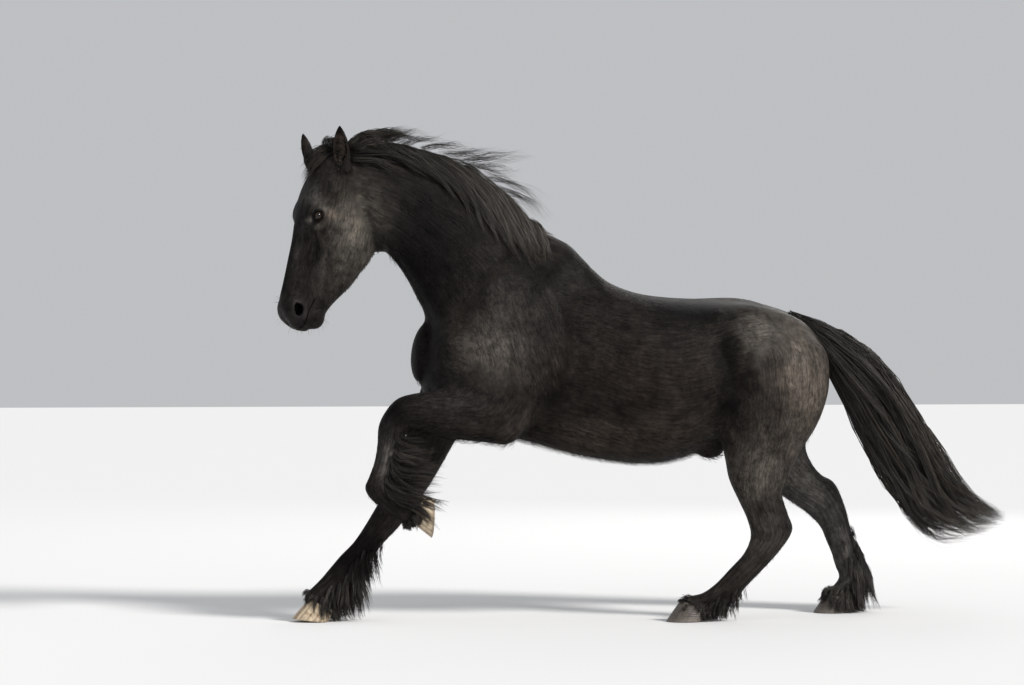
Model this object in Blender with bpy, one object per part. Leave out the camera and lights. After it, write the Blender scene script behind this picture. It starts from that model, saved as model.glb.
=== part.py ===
# Friesian horse in a canter, life size, left side towards -Y, head towards -X, +Z up, metres.
# The body is one smooth form, made of rounded sweeps along ribs with muscles added, meshed, simplified and then parted
# with thin cuts into head, neck, trunk and legs. Hooves, eyes, ears and the masses of long hair are pieces of their own.
# The coat's tips are the surface: the leg's feathers, the mane, the forelock and the tail fill the space that their hair takes.
import bpy
import bmesh
from mathutils import Matrix, Vector
import math
import numpy as np

FAR = 0.5


def catmull(rows, per):
    """a smooth row of numbers through the given rows"""
    a = np.asarray(rows, float)
    a = np.vstack([2*a[0]-a[1], a, 2*a[-1]-a[-2]])
    out = []
    for i in range(1, len(a)-2):
        p0, p1, p2, p3 = a[i-1], a[i], a[i+1], a[i+2]
        for k in range(per):
            t = k/per
            out.append(0.5*(2*p1+(-p0+p2)*t+(2*p0-5*p1+4*p2-p3)*t*t+(-p0+3*p1-3*p2+p3)*t**3))
    out.append(a[-2])
    return np.array(out)


class Sweep:
    """A rounded body swept along ribs. A rib is a line across the form, seen from the side, with the form's half width:
    (x front, z front, x back, z back, y, half width, place of the widest point from the back, roundness front, back)"""
    def __init__(self, ribs, per=6, cap0=0.5, cap1=0.5, pad=0.10):
        r = catmull(ribs, per)
        f, b = r[:, [0, 1]], r[:, [2, 3]]
        m = np.clip(r[:, 6], .15, .85)
        c = b+(f-b)*m[:, None]
        L = np.linalg.norm(f-b, axis=1)
        n = (f-b)/L[:, None]
        w = np.maximum(r[:, 5], .002)
        self.c3 = np.column_stack([c[:, 0], r[:, 4], c[:, 1]])
        self.tab = np.column_stack([self.c3, n, w, L*(1-m), L*m, r[:, 7], r[:, 8]])
        self.cap0, self.cap1 = cap0, cap1
        ends = [np.column_stack([q[:, 0], r[:, 4]+s*w, q[:, 1]]) for q in (f, b) for s in (-1, 1)]
        ext = np.vstack(ends)
        self.lo, self.hi = ext.min(0)-pad, ext.max(0)+pad
        self.k = np.array([1, .6, 1])

    def __call__(self, P):
        out = np.full(len(P), FAR, np.float32)
        idx = np.nonzero(np.all((P > self.lo) & (P < self.hi), axis=1))[0]
        for s in range(0, len(idx), 60000):
            ii = idx[s:s+60000]
            out[ii] = self.place(P[ii])[0]
        return out

    def place(self, Q):
        """distance, rib number, height above the rib's middle and distance to the side"""
        C = (self.c3*self.k).astype(np.float32)
        M = len(C)
        q4 = Q.astype(np.float32)
        near = ((C**2).sum(1)[None, :]-2*((q4*self.k.astype(np.float32))@C.T)).argmin(1)
        n = self.tab[:, 3:5].astype(np.float32)
        # which side of each rib's line the point is on; it belongs to the rib where that changes
        g = q4[:, [0, 2]]@np.array([n[:, 1], -n[:, 0]])-(C[:, 0]*n[:, 1]-C[:, 2]*n[:, 0])
        cost = np.abs(np.arange(M-1, dtype=np.float32)[None, :]+.5-near[:, None])
        cost[g[:, :-1]*g[:, 1:] > 0] = 1e4
        j = cost.argmin(1)
        row = np.arange(len(Q))
        g0, g1 = g[row, j], g[row, j+1]
        none = cost[row, j] >= 1e4
        f = j+np.where(none, 0, g0/np.where(np.abs(g0-g1) < 1e-9, 1, g0-g1))
        end = np.where(near < M/2, 0, M-1)
        f = np.where(none, end, np.clip(f, 0, M-1))
        over = np.where(none, np.abs(g[row, end]), 0)
        i0 = np.minimum(f.astype(int), M-2)
        a = (f-i0)[:, None]
        T = self.tab[i0]*(1-a)+self.tab[i0+1]*a
        r = Q-T[:, :3]
        u = r[:, 0]*T[:, 3]+r[:, 2]*T[:, 4]
        v = r[:, 1]
        w = T[:, 5]
        h = np.where(u > 0, T[:, 6], T[:, 7])
        e = np.where(u > 0, T[:, 8], T[:, 9])
        cl = np.where(f <= 0, self.cap0, self.cap1)*np.minimum(h, w)
        au, av = np.maximum(np.abs(u/h), 1e-5), np.maximum(np.abs(v/w), 1e-5)
        q2 = (au**e+av**e)**(1/e)
        gu, gv = (au/q2)**(e-1)/h, (av/q2)**(e-1)/w
        o = over/np.maximum(cl, 1e-4)
        q = np.sqrt(q2*q2+o*o)
        gr = np.sqrt((q2/q)**2*(gu*gu+gv*gv)+(o/q/np.maximum(cl, 1e-4))**2)
        return ((q-1)/gr).astype(np.float32), f, u, v


def ellipsoid(P, c, r, R=None, pad=.10):
    c, r = np.asarray(c, float), np.asarray(r, float)
    out = np.full(len(P), FAR, np.float32)
    m = np.all(np.abs(P-c) < max(r)+pad, axis=1)
    q = P[m]-c
    if R is not None:
        q = q@R.T
    k0 = np.sqrt(((q/r)**2).sum(1))
    k1 = np.sqrt(((q/(r*r))**2).sum(1))
    out[m] = np.where(k0 < 1e-6, -r.min(), k0*(k0-1)/np.maximum(k1, 1e-9))
    return out


def bar(P, a, b, ra, rb, flat=1.0, roll=(0, 1, 0), pad=.10):
    """a round bar from a to b; flat scales it along roll"""
    a, b = np.asarray(a, float), np.asarray(b, float)
    out = np.full(len(P), FAR, np.float32)
    lo, hi = np.minimum(a, b)-max(ra, rb)-pad, np.maximum(a, b)+max(ra, rb)+pad
    m = np.all((P > lo) & (P < hi), axis=1)
    Q = P[m]
    if flat != 1.0:
        y = np.asarray(roll, float)
        x = (b-a)/np.linalg.norm(b-a)
        y = y-x*(x@y)
        y /= np.linalg.norm(y)
        Q = Q+np.outer((Q-a)@y, y)*(1/flat-1)
    t = np.clip(((Q-a)@(b-a))/((b-a)@(b-a)), 0, 1)
    d = np.linalg.norm(Q-a-np.outer(t, b-a), axis=1)-(ra+(rb-ra)*t)
    out[m] = d*flat if flat < 1 else d
    return out


def smin(a, b, k):
    h = np.clip(.5+.5*(b-a)/k, 0, 1)
    return b*(1-h)+a*h-k*h*(1-h)


def smax(a, b, k):
    return -smin(-a, -b, k)


def ease(x, a, b):
    t = np.clip((x-a)/(b-a), 0, 1)
    return t*t*(3-2*t)


# ---- stations along the body, the neck and the legs, measured in metres
TRUNK = [
    (-0.665, 1.15, -0.70, 0.915, 0, 0.085, 0.5, 2, 2),  # breast end
    (-0.62, 1.235, -0.67, 0.855, 0, 0.165, 0.5, 2, 2),  # breast
    (-0.525, 1.29, -0.59, 0.78, 0, 0.215, 0.48, 2, 2.1),  # front of the chest
    (-0.385, 1.355, -0.455, 0.725, 0, 0.24, 0.45, 1.8, 2.1),  # point of the shoulder
    (-0.25, 1.42, -0.31, 0.695, 0, 0.25, 0.45, 1.6, 2.1),  # withers, front
    (-0.145, 1.425, -0.185, 0.66, 0, 0.265, 0.46, 1.55, 2.1),  # withers
    (-0.055, 1.38, -0.065, 0.63, 0, 0.285, 0.47, 1.7, 2.1),  # withers, back
    (0.03, 1.31, 0.055, 0.61, 0, 0.305, 0.48, 1.95, 2.1),  # girth
    (0.13, 1.27, 0.165, 0.6, 0, 0.32, 0.48, 2.2, 2.1),  # ribs
    (0.245, 1.25, 0.275, 0.61, 0, 0.325, 0.48, 2.35, 2.1),  # ribs, middle
    (0.36, 1.24, 0.37, 0.64, 0, 0.312, 0.5, 2.45, 2.1),  # belly
    (0.48, 1.235, 0.46, 0.7, 0, 0.29, 0.52, 2.5, 2.1),  # loin
    (0.6, 1.225, 0.555, 0.77, 0, 0.268, 0.52, 2.4, 2),  # flank
    (0.715, 1.185, 0.66, 0.825, 0, 0.235, 0.52, 2.2, 2),  # croup
    (0.805, 1.14, 0.765, 0.87, 0, 0.18, 0.52, 2, 2),  # dock
    (0.87, 1.07, 0.85, 0.925, 0, 0.1, 0.5, 2, 2),  # buttocks
]
NECK = [
    (-1.005, 1.77, -0.885, 1.475, -0.06, 0.072, 0.5, 2, 2),  # poll
    (-0.95, 1.795, -0.84, 1.42, -0.055, 0.08, 0.46, 1.9, 2),  # behind the ears
    (-0.845, 1.815, -0.795, 1.37, -0.05, 0.083, 0.43, 1.75, 2),  # throat
    (-0.73, 1.805, -0.75, 1.305, -0.04, 0.09, 0.41, 1.7, 2),  # upper third
    (-0.615, 1.775, -0.715, 1.24, -0.03, 0.103, 0.4, 1.7, 2),  # crest
    (-0.49, 1.715, -0.685, 1.18, -0.02, 0.122, 0.4, 1.7, 2),  # middle
    (-0.37, 1.625, -0.665, 1.085, -0.01, 0.15, 0.42, 1.7, 2),  # lower third
    (-0.25, 1.52, -0.63, 0.98, 0, 0.18, 0.44, 1.7, 2),  # base
    (-0.145, 1.44, -0.575, 0.87, 0, 0.2, 0.46, 1.7, 2),  # shoulder
]
HIND_L = [
    (0.42, 1.12, 0.77, 1.11, -0.12, 0.095, 0.5, 2, 2),  # hip
    (0.415, 0.995, 0.86, 1.04, -0.15, 0.13, 0.5, 2.1, 2.1),  # upper thigh
    (0.415, 0.87, 0.875, 0.925, -0.165, 0.135, 0.5, 2.1, 2.1),  # thigh
    (0.425, 0.775, 0.855, 0.83, -0.175, 0.122, 0.5, 2.1, 2.1),  # stifle, top
    (0.44, 0.695, 0.815, 0.74, -0.18, 0.107, 0.5, 2.1, 2.1),  # stifle
    (0.455, 0.62, 0.755, 0.65, -0.185, 0.09, 0.5, 2.1, 2.1),  # gaskin, top
    (0.47, 0.545, 0.715, 0.565, -0.185, 0.074, 0.5, 2.1, 2.1),  # gaskin
    (0.51, 0.46, 0.685, 0.495, -0.18, 0.059, 0.5, 2.1, 2.1),  # lower gaskin
    (0.545, 0.39, 0.71, 0.415, -0.17, 0.05, 0.5, 2.3, 2),  # above the hock
    (0.56, 0.325, 0.73, 0.345, -0.165, 0.048, 0.5, 2.4, 2),  # point of the hock
    (0.535, 0.26, 0.675, 0.26, -0.16, 0.043, 0.5, 2.2, 2),  # below the hock
    (0.48, 0.2, 0.615, 0.195, -0.155, 0.037, 0.5, 2.1, 2.1),  # cannon, top
    (0.425, 0.145, 0.545, 0.125, -0.155, 0.035, 0.5, 2.1, 2.1),  # cannon
    (0.375, 0.11, 0.505, 0.07, -0.15, 0.042, 0.5, 2.1, 2.1),  # fetlock
    (0.33, 0.1, 0.42, 0.035, -0.145, 0.04, 0.5, 2.1, 2.1),  # pastern
    (0.295, 0.09, 0.375, 0.025, -0.145, 0.046, 0.5, 2.1, 2.1),  # coronet
]
HIND_R = [
    (0.48, 1.12, 0.835, 1.11, 0.12, 0.095, 0.5, 2, 2),  # hip
    (0.47, 0.995, 0.945, 1.04, 0.15, 0.13, 0.5, 2.1, 2.1),  # upper thigh
    (0.475, 0.865, 0.965, 0.92, 0.165, 0.135, 0.5, 2.1, 2.1),  # thigh
    (0.51, 0.75, 0.94, 0.835, 0.175, 0.122, 0.5, 2.1, 2.1),  # stifle, top
    (0.565, 0.66, 0.9, 0.745, 0.18, 0.105, 0.5, 2.1, 2.1),  # stifle
    (0.645, 0.57, 0.875, 0.665, 0.175, 0.088, 0.5, 2.1, 2.1),  # gaskin, top
    (0.725, 0.495, 0.895, 0.6, 0.17, 0.073, 0.5, 2.1, 2.1),  # gaskin
    (0.805, 0.44, 0.935, 0.55, 0.165, 0.062, 0.5, 2.1, 2.1),  # lower gaskin
    (0.87, 0.395, 0.99, 0.515, 0.16, 0.052, 0.5, 2.3, 2),  # above the hock
    (0.925, 0.34, 1.03, 0.425, 0.155, 0.048, 0.5, 2.4, 2),  # point of the hock
    (0.95, 0.285, 1.055, 0.335, 0.155, 0.043, 0.5, 2.2, 2),  # below the hock
    (0.97, 0.235, 1.075, 0.275, 0.15, 0.038, 0.5, 2.1, 2.1),  # cannon, top
    (0.985, 0.185, 1.095, 0.215, 0.15, 0.038, 0.5, 2.1, 2.1),  # cannon
    (1, 0.14, 1.12, 0.155, 0.145, 0.043, 0.5, 2.1, 2.1),  # fetlock
    (0.975, 0.105, 1.08, 0.085, 0.145, 0.039, 0.5, 2.1, 2.1),  # pastern
    (0.94, 0.085, 1.045, 0.04, 0.14, 0.046, 0.5, 2.1, 2.1),  # coronet
]
FORE_L = [
    (-0.49, 1.1, -0.22, 0.98, -0.145, 0.095, 0.5, 2, 2),  # shoulder
    (-0.53, 1.005, -0.275, 0.815, -0.165, 0.105, 0.5, 2, 2),  # arm
    (-0.56, 0.93, -0.365, 0.69, -0.17, 0.092, 0.5, 2, 2),  # elbow
    (-0.615, 0.9, -0.47, 0.69, -0.17, 0.078, 0.5, 2.1, 2.1),  # forearm, top
    (-0.68, 0.89, -0.57, 0.7, -0.17, 0.066, 0.5, 2.1, 2.1),  # forearm
    (-0.75, 0.88, -0.67, 0.72, -0.165, 0.056, 0.5, 2.2, 2.1),  # lower forearm
    (-0.81, 0.86, -0.735, 0.73, -0.16, 0.052, 0.5, 2.5, 2.2),  # knee, top
    (-0.855, 0.81, -0.755, 0.74, -0.155, 0.05, 0.5, 2.5, 2.2),  # knee
    (-0.88, 0.755, -0.775, 0.71, -0.15, 0.041, 0.5, 2.3, 2.1),  # below the knee
    (-0.885, 0.685, -0.79, 0.665, -0.145, 0.034, 0.5, 2.1, 2.1),  # cannon, top
    (-0.895, 0.625, -0.8, 0.605, -0.145, 0.031, 0.5, 2.1, 2.1),  # cannon
    (-0.915, 0.565, -0.815, 0.555, -0.14, 0.033, 0.5, 2.1, 2.1),  # lower cannon
    (-0.93, 0.52, -0.815, 0.525, -0.14, 0.039, 0.5, 2.2, 2.1),  # fetlock
    (-0.905, 0.475, -0.805, 0.515, -0.135, 0.037, 0.5, 2.1, 2.1),  # below the fetlock
    (-0.845, 0.425, -0.78, 0.49, -0.135, 0.034, 0.5, 2.1, 2.1),  # pastern
    (-0.795, 0.39, -0.72, 0.475, -0.135, 0.046, 0.5, 2.1, 2.1),  # coronet, top
    (-0.77, 0.375, -0.7, 0.465, -0.135, 0.046, 0.5, 2.1, 2.1),  # coronet
]
FORE_R = [
    (-0.48, 1.1, -0.185, 0.98, 0.145, 0.095, 0.5, 2, 2),  # shoulder
    (-0.595, 1.035, -0.31, 0.885, 0.16, 0.105, 0.5, 2, 2),  # arm
    (-0.66, 0.925, -0.43, 0.79, 0.16, 0.092, 0.5, 2, 2),  # elbow
    (-0.7, 0.815, -0.52, 0.705, 0.155, 0.074, 0.5, 2.1, 2.1),  # forearm, top
    (-0.735, 0.71, -0.585, 0.6, 0.145, 0.062, 0.5, 2.1, 2.1),  # forearm
    (-0.77, 0.61, -0.645, 0.505, 0.135, 0.054, 0.5, 2.2, 2.1),  # lower forearm
    (-0.805, 0.53, -0.7, 0.435, 0.13, 0.052, 0.5, 2.5, 2.2),  # knee, top
    (-0.84, 0.46, -0.74, 0.38, 0.125, 0.05, 0.5, 2.5, 2.2),  # knee
    (-0.87, 0.41, -0.775, 0.34, 0.12, 0.041, 0.5, 2.3, 2.1),  # below the knee
    (-0.905, 0.355, -0.82, 0.295, 0.115, 0.034, 0.5, 2.1, 2.1),  # cannon, top
    (-0.945, 0.3, -0.86, 0.245, 0.11, 0.031, 0.5, 2.1, 2.1),  # cannon
    (-0.99, 0.255, -0.9, 0.195, 0.11, 0.033, 0.5, 2.1, 2.1),  # lower cannon
    (-1.03, 0.21, -0.925, 0.14, 0.105, 0.039, 0.5, 2.2, 2.1),  # fetlock
    (-1.065, 0.17, -0.98, 0.105, 0.1, 0.036, 0.5, 2.1, 2.1),  # below the fetlock
    (-1.105, 0.13, -1.015, 0.07, 0.1, 0.044, 0.5, 2.1, 2.1),  # pastern
    (-1.125, 0.115, -1.03, 0.05, 0.1, 0.046, 0.5, 2.1, 2.1),  # coronet
]


# ---- head: its own frame, turned towards the near side and held nearly upright
POLL = np.array([-1.033, -.06, 1.798])
TURN, NOD = math.radians(20), math.radians(13)
_n = np.array([-math.cos(TURN), -math.sin(TURN), 0])
DOWN = _n*math.sin(NOD)+np.array([0, 0, -math.cos(NOD)])       # poll to muzzle
FRONT = _n*math.cos(NOD)+np.array([0, 0, math.sin(NOD)])       # square to the forehead
ASIDE = np.array([-math.sin(TURN), math.cos(TURN), 0])         # towards the far side
HEAD_AXES = np.array([FRONT, ASIDE, -DOWN])


def to_head(P):
    return (P-POLL)@HEAD_AXES.T


def from_head(q):
    return POLL+np.asarray(q, float)@HEAD_AXES

# ribs in the head's frame: forehead side first, then jaw side; u is minus the way down the head
HEAD = [
    (-.005, .00, -.10, -.07, 0, .055, .55, 2.0, 2.0),     # poll
    (.032, -.03, -.125, -.12, 0, .068, .55, 2.3, 2.1),    # forelock
    (.062, -.08, -.148, -.17, 0, .080, .56, 2.5, 2.2),    # temples
    (.084, -.14, -.165, -.22, 0, .086, .57, 2.7, 2.3),
    (.096, -.20, -.178, -.27, 0, .087, .57, 2.7, 2.4),    # eyes
    (.100, -.26, -.206, -.325, 0, .083, .56, 2.6, 2.5),   # cheek
    (.098, -.32, -.222, -.375, 0, .076, .54, 2.3, 2.5),
    (.097, -.38, -.207, -.435, 0, .068, .53, 2.0, 2.4),    # end of the cheek
    (.098, -.44, -.180, -.485, 0, .061, .52, 1.9, 2.4),
    (.098, -.50, -.150, -.53, 0, .055, .50, 1.9, 2.3),    # chin groove
    (.098, -.55, -.123, -.57, 0, .051, .49, 2.0, 2.1),
    (.097, -.595, -.101, -.61, 0, .052, .49, 2.2, 2.2),   # nostrils
    (.088, -.635, -.088, -.645, 0, .052, .50, 2.3, 2.2),
    (.068, -.664, -.070, -.67, 0, .044, .50, 2.2, 2.1),   # lips
    (.034, -.682, -.044, -.688, 0, .028, .50, 2.0, 2.0),
]
EYE_RADIUS = .0205
EYE = (.050, .0765, -.272)        # in the head's frame, mirrored for the other side
_head = Sweep(HEAD, cap0=.6, cap1=.6)


def head(P):
    out = np.full(len(P), FAR, np.float32)
    Q = to_head(P)
    m = (np.abs(Q[:, 0]+.04) < .30) & (np.abs(Q[:, 1]) < .23) & (Q[:, 2] < .13) & (Q[:, 2] > -.78)
    Q = Q[m]
    d = _head(Q)
    F = np.column_stack([Q[:, 0], np.abs(Q[:, 1]), Q[:, 2]])
    d = smin(d, ellipsoid(F, (-.108, .049, -.312), (.118, .040, .140)), .035)         # cheek muscle
    d = smin(d, ellipsoid(F, (-.245, .028, -.262), (.062, .046, .076)), .040)         # throat
    d = smin(d, ellipsoid(F, (.045, .060, -.262), (.044, .026, .050)), .030)          # brow
    d = smin(d, bar(F, (.050, .070, -.225), (-.020, .072, -.115), .016, .014), .030)  # cheekbone arch
    d = smin(d, bar(F, (.020, .072, -.310), (-.014, .056, -.45), .010, .005), .030)   # facial crest
    d = smax(d, -ellipsoid(F, (.062, .094, -.180), (.026, .022, .030)), .030)         # hollow above the eye
    d = smax(d, -ellipsoid(F, (.040, .100, -.41), (.034, .034, .085)), .045)          # side of the nose
    d = smin(d, ellipsoid(F, (.048, .034, -.625), (.034, .028, .046)), .026)          # nostril
    d = smin(d, ellipsoid(F, (.018, .020, -.657), (.042, .036, .034)), .024)          # upper lip
    d = smin(d, ellipsoid(F, (-.062, .008, -.645), (.032, .032, .036)), .022)         # chin
    d = smax(d, -ellipsoid(F, (-.238, .0, -.425), (.050, .022, .10)), .022)           # between the jaws
    d = smax(d, -ellipsoid(F, (-.022, .062, -.578), (.010, .012, .045)), .018)        # corner of the mouth
    out[m] = d
    return out


# ---- ears: base, tip, and the way that the cup opens
EARS = {"left": ((-1.005, -.128, 1.715), (-1.030, -.139, 1.886), (-.55, -.83, .05)),
        "right": ((-1.105, .010, 1.724), (-1.159, .013, 1.860), (-.93, .36, .0))}
EAR_HALF = .0335
EAR_WIDTHS = ((0, .60), (.12, .78), (.3, .98), (.5, 1.0), (.7, .84), (.85, .55), (.95, .26), (1, .06))


def ear(P, side, thick=.0065):
    base, tip, opening = [np.array(x, float) for x in EARS[side]]
    ax = tip-base
    L = np.linalg.norm(ax)
    ax = ax/L
    op = opening-ax*(opening@ax)
    op /= np.linalg.norm(op)
    sd = np.cross(ax, op)
    out = np.full(len(P), FAR, np.float32)
    m = np.linalg.norm(P-(base+tip)/2, axis=1) < L*.5+.09
    r = P[m]-base
    t = r@ax/L
    u, v = r@op, r@sd
    tt = np.clip(t, 0, 1)
    w = EAR_HALF*np.interp(tt, *zip(*EAR_WIDTHS))
    u = u+.030*(tt-.30)**2

    def tube(a, b, uu, vv):
        q = np.sqrt((uu/a)**2+(vv/b)**2)
        gr = np.sqrt((uu/a)**2/a**2+(vv/b)**2/b**2)/np.maximum(q, 1e-6)
        return (q-1)/np.maximum(gr, .2/np.maximum(a, b))
    d = tube(w*.78, w, u, v)
    wi = np.maximum(w-thick, .001)
    inner = tube(wi, wi, u-.010, v)
    inner = np.maximum(inner, (.17-t)*L)
    d = smax(d, -inner, .004)
    e = np.maximum(-t, t-1)*L
    out[m] = np.where(e > 0, np.sqrt(np.maximum(d, 0)**2+e*e), d)
    return out


# ---- hooves: middle of the sole, toe direction, way up to the pastern, cut level at the floor
HOOVES = {
    "fore_left": ((-.668, -.135, .402), (-.05, -.02, -1.0), (-1.0, .02, .05)),
    "fore_right": ((-1.107, .100, .004), (-.995, .0, .105), (.105, .0, .995)),
    "hind_left": ((.305, -.147, -.002), (-1.0, -.04, .0), (.0, .0, 1.0)),
    "hind_right": ((.968, .143, -.002), (-1.0, .05, .0), (.0, .0, 1.0)),
}
HOOF_LONG, HOOF_WIDE, HOOF_TOE, HOOF_HEEL = .074, .066, .088, .042


def hoof_frame(name):
    c, f, u = [np.array(x, float) for x in HOOVES[name]]
    f /= np.linalg.norm(f)
    u = u-f*(u@f)
    u /= np.linalg.norm(u)
    return c, f, np.cross(u, f), u


def hoof(P, name, grow=0.0):
    """a cut cone, longer at the toe, with the coronet sloping down to the heels"""
    c, f, s, up = hoof_frame(name)
    out = np.full(len(P), FAR, np.float32)
    m = np.linalg.norm(P-c-up*.05, axis=1) < .24
    r = P[m]-c
    x, y, z = r@f, r@s, r@up
    t = np.clip(z/HOOF_TOE, -.1, 1.2)
    hind = .94 if name.startswith("hind") else 1.0
    a = (HOOF_LONG-.013*t)
    b = (HOOF_WIDE-.013*t)*hind
    xc = x+.050*t                              # leans back
    back = np.where(xc < 0, .90, 1.0)          # heels a little square
    e = np.where(xc < 0, 2.6, 2.1)
    ax_, ay_ = np.maximum(np.abs(xc/(a*back)), 1e-5), np.maximum(np.abs(y/b), 1e-5)
    q = (ax_**e+ay_**e)**(1/e)
    gr = np.sqrt(((ax_/q)**(e-1)/(a*back))**2+((ay_/q)**(e-1)/b)**2)
    d = (q-1)/gr*.86
    top = HOOF_HEEL+(HOOF_TOE-HOOF_HEEL)*np.clip((xc+HOOF_LONG)/(2*HOOF_LONG), 0, 1)
    d = smax(d, (z-top)*.9, .006)
    d = np.maximum(d, -z)
    if name != "fore_left":
        d = np.maximum(d, -(P[m][:, 2]))       # stands on the floor
    out[m] = d-grow
    return out


# ---- trunk, neck, legs
_trunk, _neck = Sweep(TRUNK, cap0=.6, cap1=.6), Sweep(NECK, cap0=.9, cap1=.6)
LEGS = {"fore_left": FORE_L, "fore_right": FORE_R, "hind_left": HIND_L, "hind_right": HIND_R}
_legs = {k: Sweep(v, cap0=.8, cap1=.3) for k, v in LEGS.items()}
ROLL = .15          # the croup is carried lower on the near side


def trunk(P):
    Q = P.copy()
    Q[:, 2] = P[:, 2]-ROLL*ease(P[:, 0], .0, .45)*np.clip(P[:, 1], -.3, .3)*ease(P[:, 2], .75, 1.05)
    d = _trunk(Q)
    F = np.column_stack([Q[:, 0], np.abs(Q[:, 1]), Q[:, 2]])
    d = smin(d, ellipsoid(F, (.57, .115, 1.065), (.25, .125, .150)), .06)   # croup muscles
    d = smin(d, ellipsoid(F, (.755, .085, .985), (.115, .10, .17)), .06)    # buttocks
    d = smin(d, ellipsoid(F, (.485, .235, 1.105), (.055, .042, .050)), .06)  # hip bone
    d = smin(d, ellipsoid(F, (-.590, .092, 1.00), (.080, .085, .125)), .045)  # breast
    return d


def shoulder(P, s):
    """shoulder blade and upper arm on side s"""
    d = bar(P, (-.19, s*.125, 1.28), (-.55, s*.175, 1.05), .050, .085, .8)
    d = smin(d, ellipsoid(P, (-.40, s*.180, .96), (.17, .075, .13)), .07)
    return d


def limbs(P):
    d = np.full(len(P), FAR, np.float32)
    for k, f in _legs.items():
        d = np.minimum(d, f(P))
    return d


def sheath(P):
    return ellipsoid(P, (.440, .0, .668), (.064, .046, .052), pad=.08)


def flesh(P):
    """the body's coat surface, without ears, hooves and long hair"""
    d = trunk(P)
    d = smin(d, _neck(P), .035+.085*ease(P[:, 0], -.66, -.42))
    for s in (-1, 1):
        d = smin(d, shoulder(P, s), .06)
    for k, f in _legs.items():
        d = smin(d, f(P), .055)
    d = smin(d, sheath(P), .035)
    d = smin(d, head(P), .035)
    return d


# ---- the space that long hair fills
FEATHERS = {
    "fore_left": [((-.835, -.146, .62), (-.835, -.140, .465), .050, .062), ((-.735, -.140, .60), (-.745, -.137, .465), .026, .045),
                  ((-.86, -.138, .50), (-.76, -.137, .40), .055, .045)],
    "fore_right": [((-.905, .112, .285), (-1.075, .102, .150), .052, .066), ((-.862, .110, .245), (-.925, .104, .115), .034, .046)],
    "hind_left": [((.56, -.156, .175), (.375, -.148, .078), .040, .055)],
    "hind_right": [((1.072, .148, .215), (1.064, .144, .082), .047, .060)],
}
TAIL = [
    (0.83, 1.15, 0.85, 1.06, 0, 0.045, .5, 2, 2),
    (0.91, 1.14, 0.925, 0.98, 0, 0.062, .5, 2, 2),
    (1.005, 1.11, 0.985, 0.86, 0, 0.082, .5, 2, 2),
    (1.1, 1.04, 1.03, 0.74, 0, 0.095, .5, 2, 2),
    (1.18, 0.95, 1.08, 0.65, 0, 0.1, .5, 2, 2),
    (1.25, 0.845, 1.12, 0.56, 0, 0.1, .5, 2, 2),
    (1.31, 0.75, 1.17, 0.485, 0, 0.097, .5, 2, 2),
    (1.365, 0.66, 1.215, 0.42, 0, 0.09, .5, 2, 2),
    (1.42, 0.565, 1.27, 0.355, 0, 0.08, .5, 2, 2),
    (1.49, 0.49, 1.33, 0.31, 0, 0.068, .5, 2, 2),
    (1.555, 0.435, 1.405, 0.285, 0, 0.055, .5, 2, 2),
    (1.62, 0.405, 1.505, 0.28, 0, 0.04, .5, 2, 2),
    (1.655, 0.38, 1.605, 0.315, 0, 0.022, .5, 2, 2),
]
_tail = Sweep(TAIL, cap0=.6, cap1=.8)
DOCK = ((.74, 0, 1.135), (.90, 0, 1.075), .050, .036)
MANE_RISE = ((0, .024), (8, .030), (16, .022), (30, .016), (42, .014), (48, .012))     # above the crest, by rib
MANE_NEAR = ((0, .085), (8, .12), (20, .135), (30, .11), (42, .07), (48, .05))         # how far down the near side
MANE_FAR = ((0, .16), (8, .25), (20, .33), (30, .36), (42, .30), (48, .12))            # and down the far side


def feathers(P, name):
    d = np.full(len(P), FAR, np.float32)
    for a, b, ra, rb in FEATHERS[name]:
        d = smin(d, bar(P, a, b, ra, rb, .86), .025)
    return d


def mane(P):
    """hair over the crest: short and loose on the near side, long on the far side"""
    out = np.full(len(P), FAR, np.float32)
    m = np.all((P > _neck.lo) & (P < _neck.hi), axis=1)
    d, f, u, v = _neck.place(P[m])
    rise = np.interp(f, *zip(*MANE_RISE))
    down = np.interp(f, np.arange(len(_neck.tab)), _neck.tab[:, 6])-u
    reach = np.where(v < 0, np.interp(f, *zip(*MANE_NEAR)), np.interp(f, *zip(*MANE_FAR)))
    thick = np.where(v < 0, .018, .028)
    t = ease(np.abs(v), .02, .06)
    d = d-(rise*(1-t)+thick*t)
    d = smax(d, (down-reach)*.8, .012)
    out[m] = smax(d, np.maximum(.5-f, f-43)*.02, .01)
    return out


def forelock(P):
    Q = to_head(P)
    d = ellipsoid(Q, (.004, .0, .018), (.046, .056, .036))
    return smin(d, bar(Q, (.030, .010, -.01), (.080, .030, -.105), .034, .016, .7, (0, 1, 0)), .03)


# ---- meshing: cells of three or more sizes, one vertex each
def key(p):
    p = np.asarray(p, np.int64)
    return (p[:, 0] << 42) | (p[:, 1] << 21) | p[:, 2]


CORN = np.array([(i, j, k) for i in (0, 1) for j in (0, 1) for k in (0, 1)])


def gradient(fn, P, h=.0015):
    g = np.empty((len(P), 3))
    for a in range(3):
        e = np.zeros(3)
        e[a] = h
        g[:, a] = fn(P+e)-fn(P-e)
    return g/(2*h)


def to_surface(fn, P, most, h=.0015):
    d = fn(P)
    g = gradient(fn, P, h)
    s = -(d/np.maximum((g**2).sum(1), .25))[:, None]*g
    n = np.linalg.norm(s, axis=1)
    return P+s*np.minimum(1, most/np.maximum(n, 1e-9))[:, None]


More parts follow.
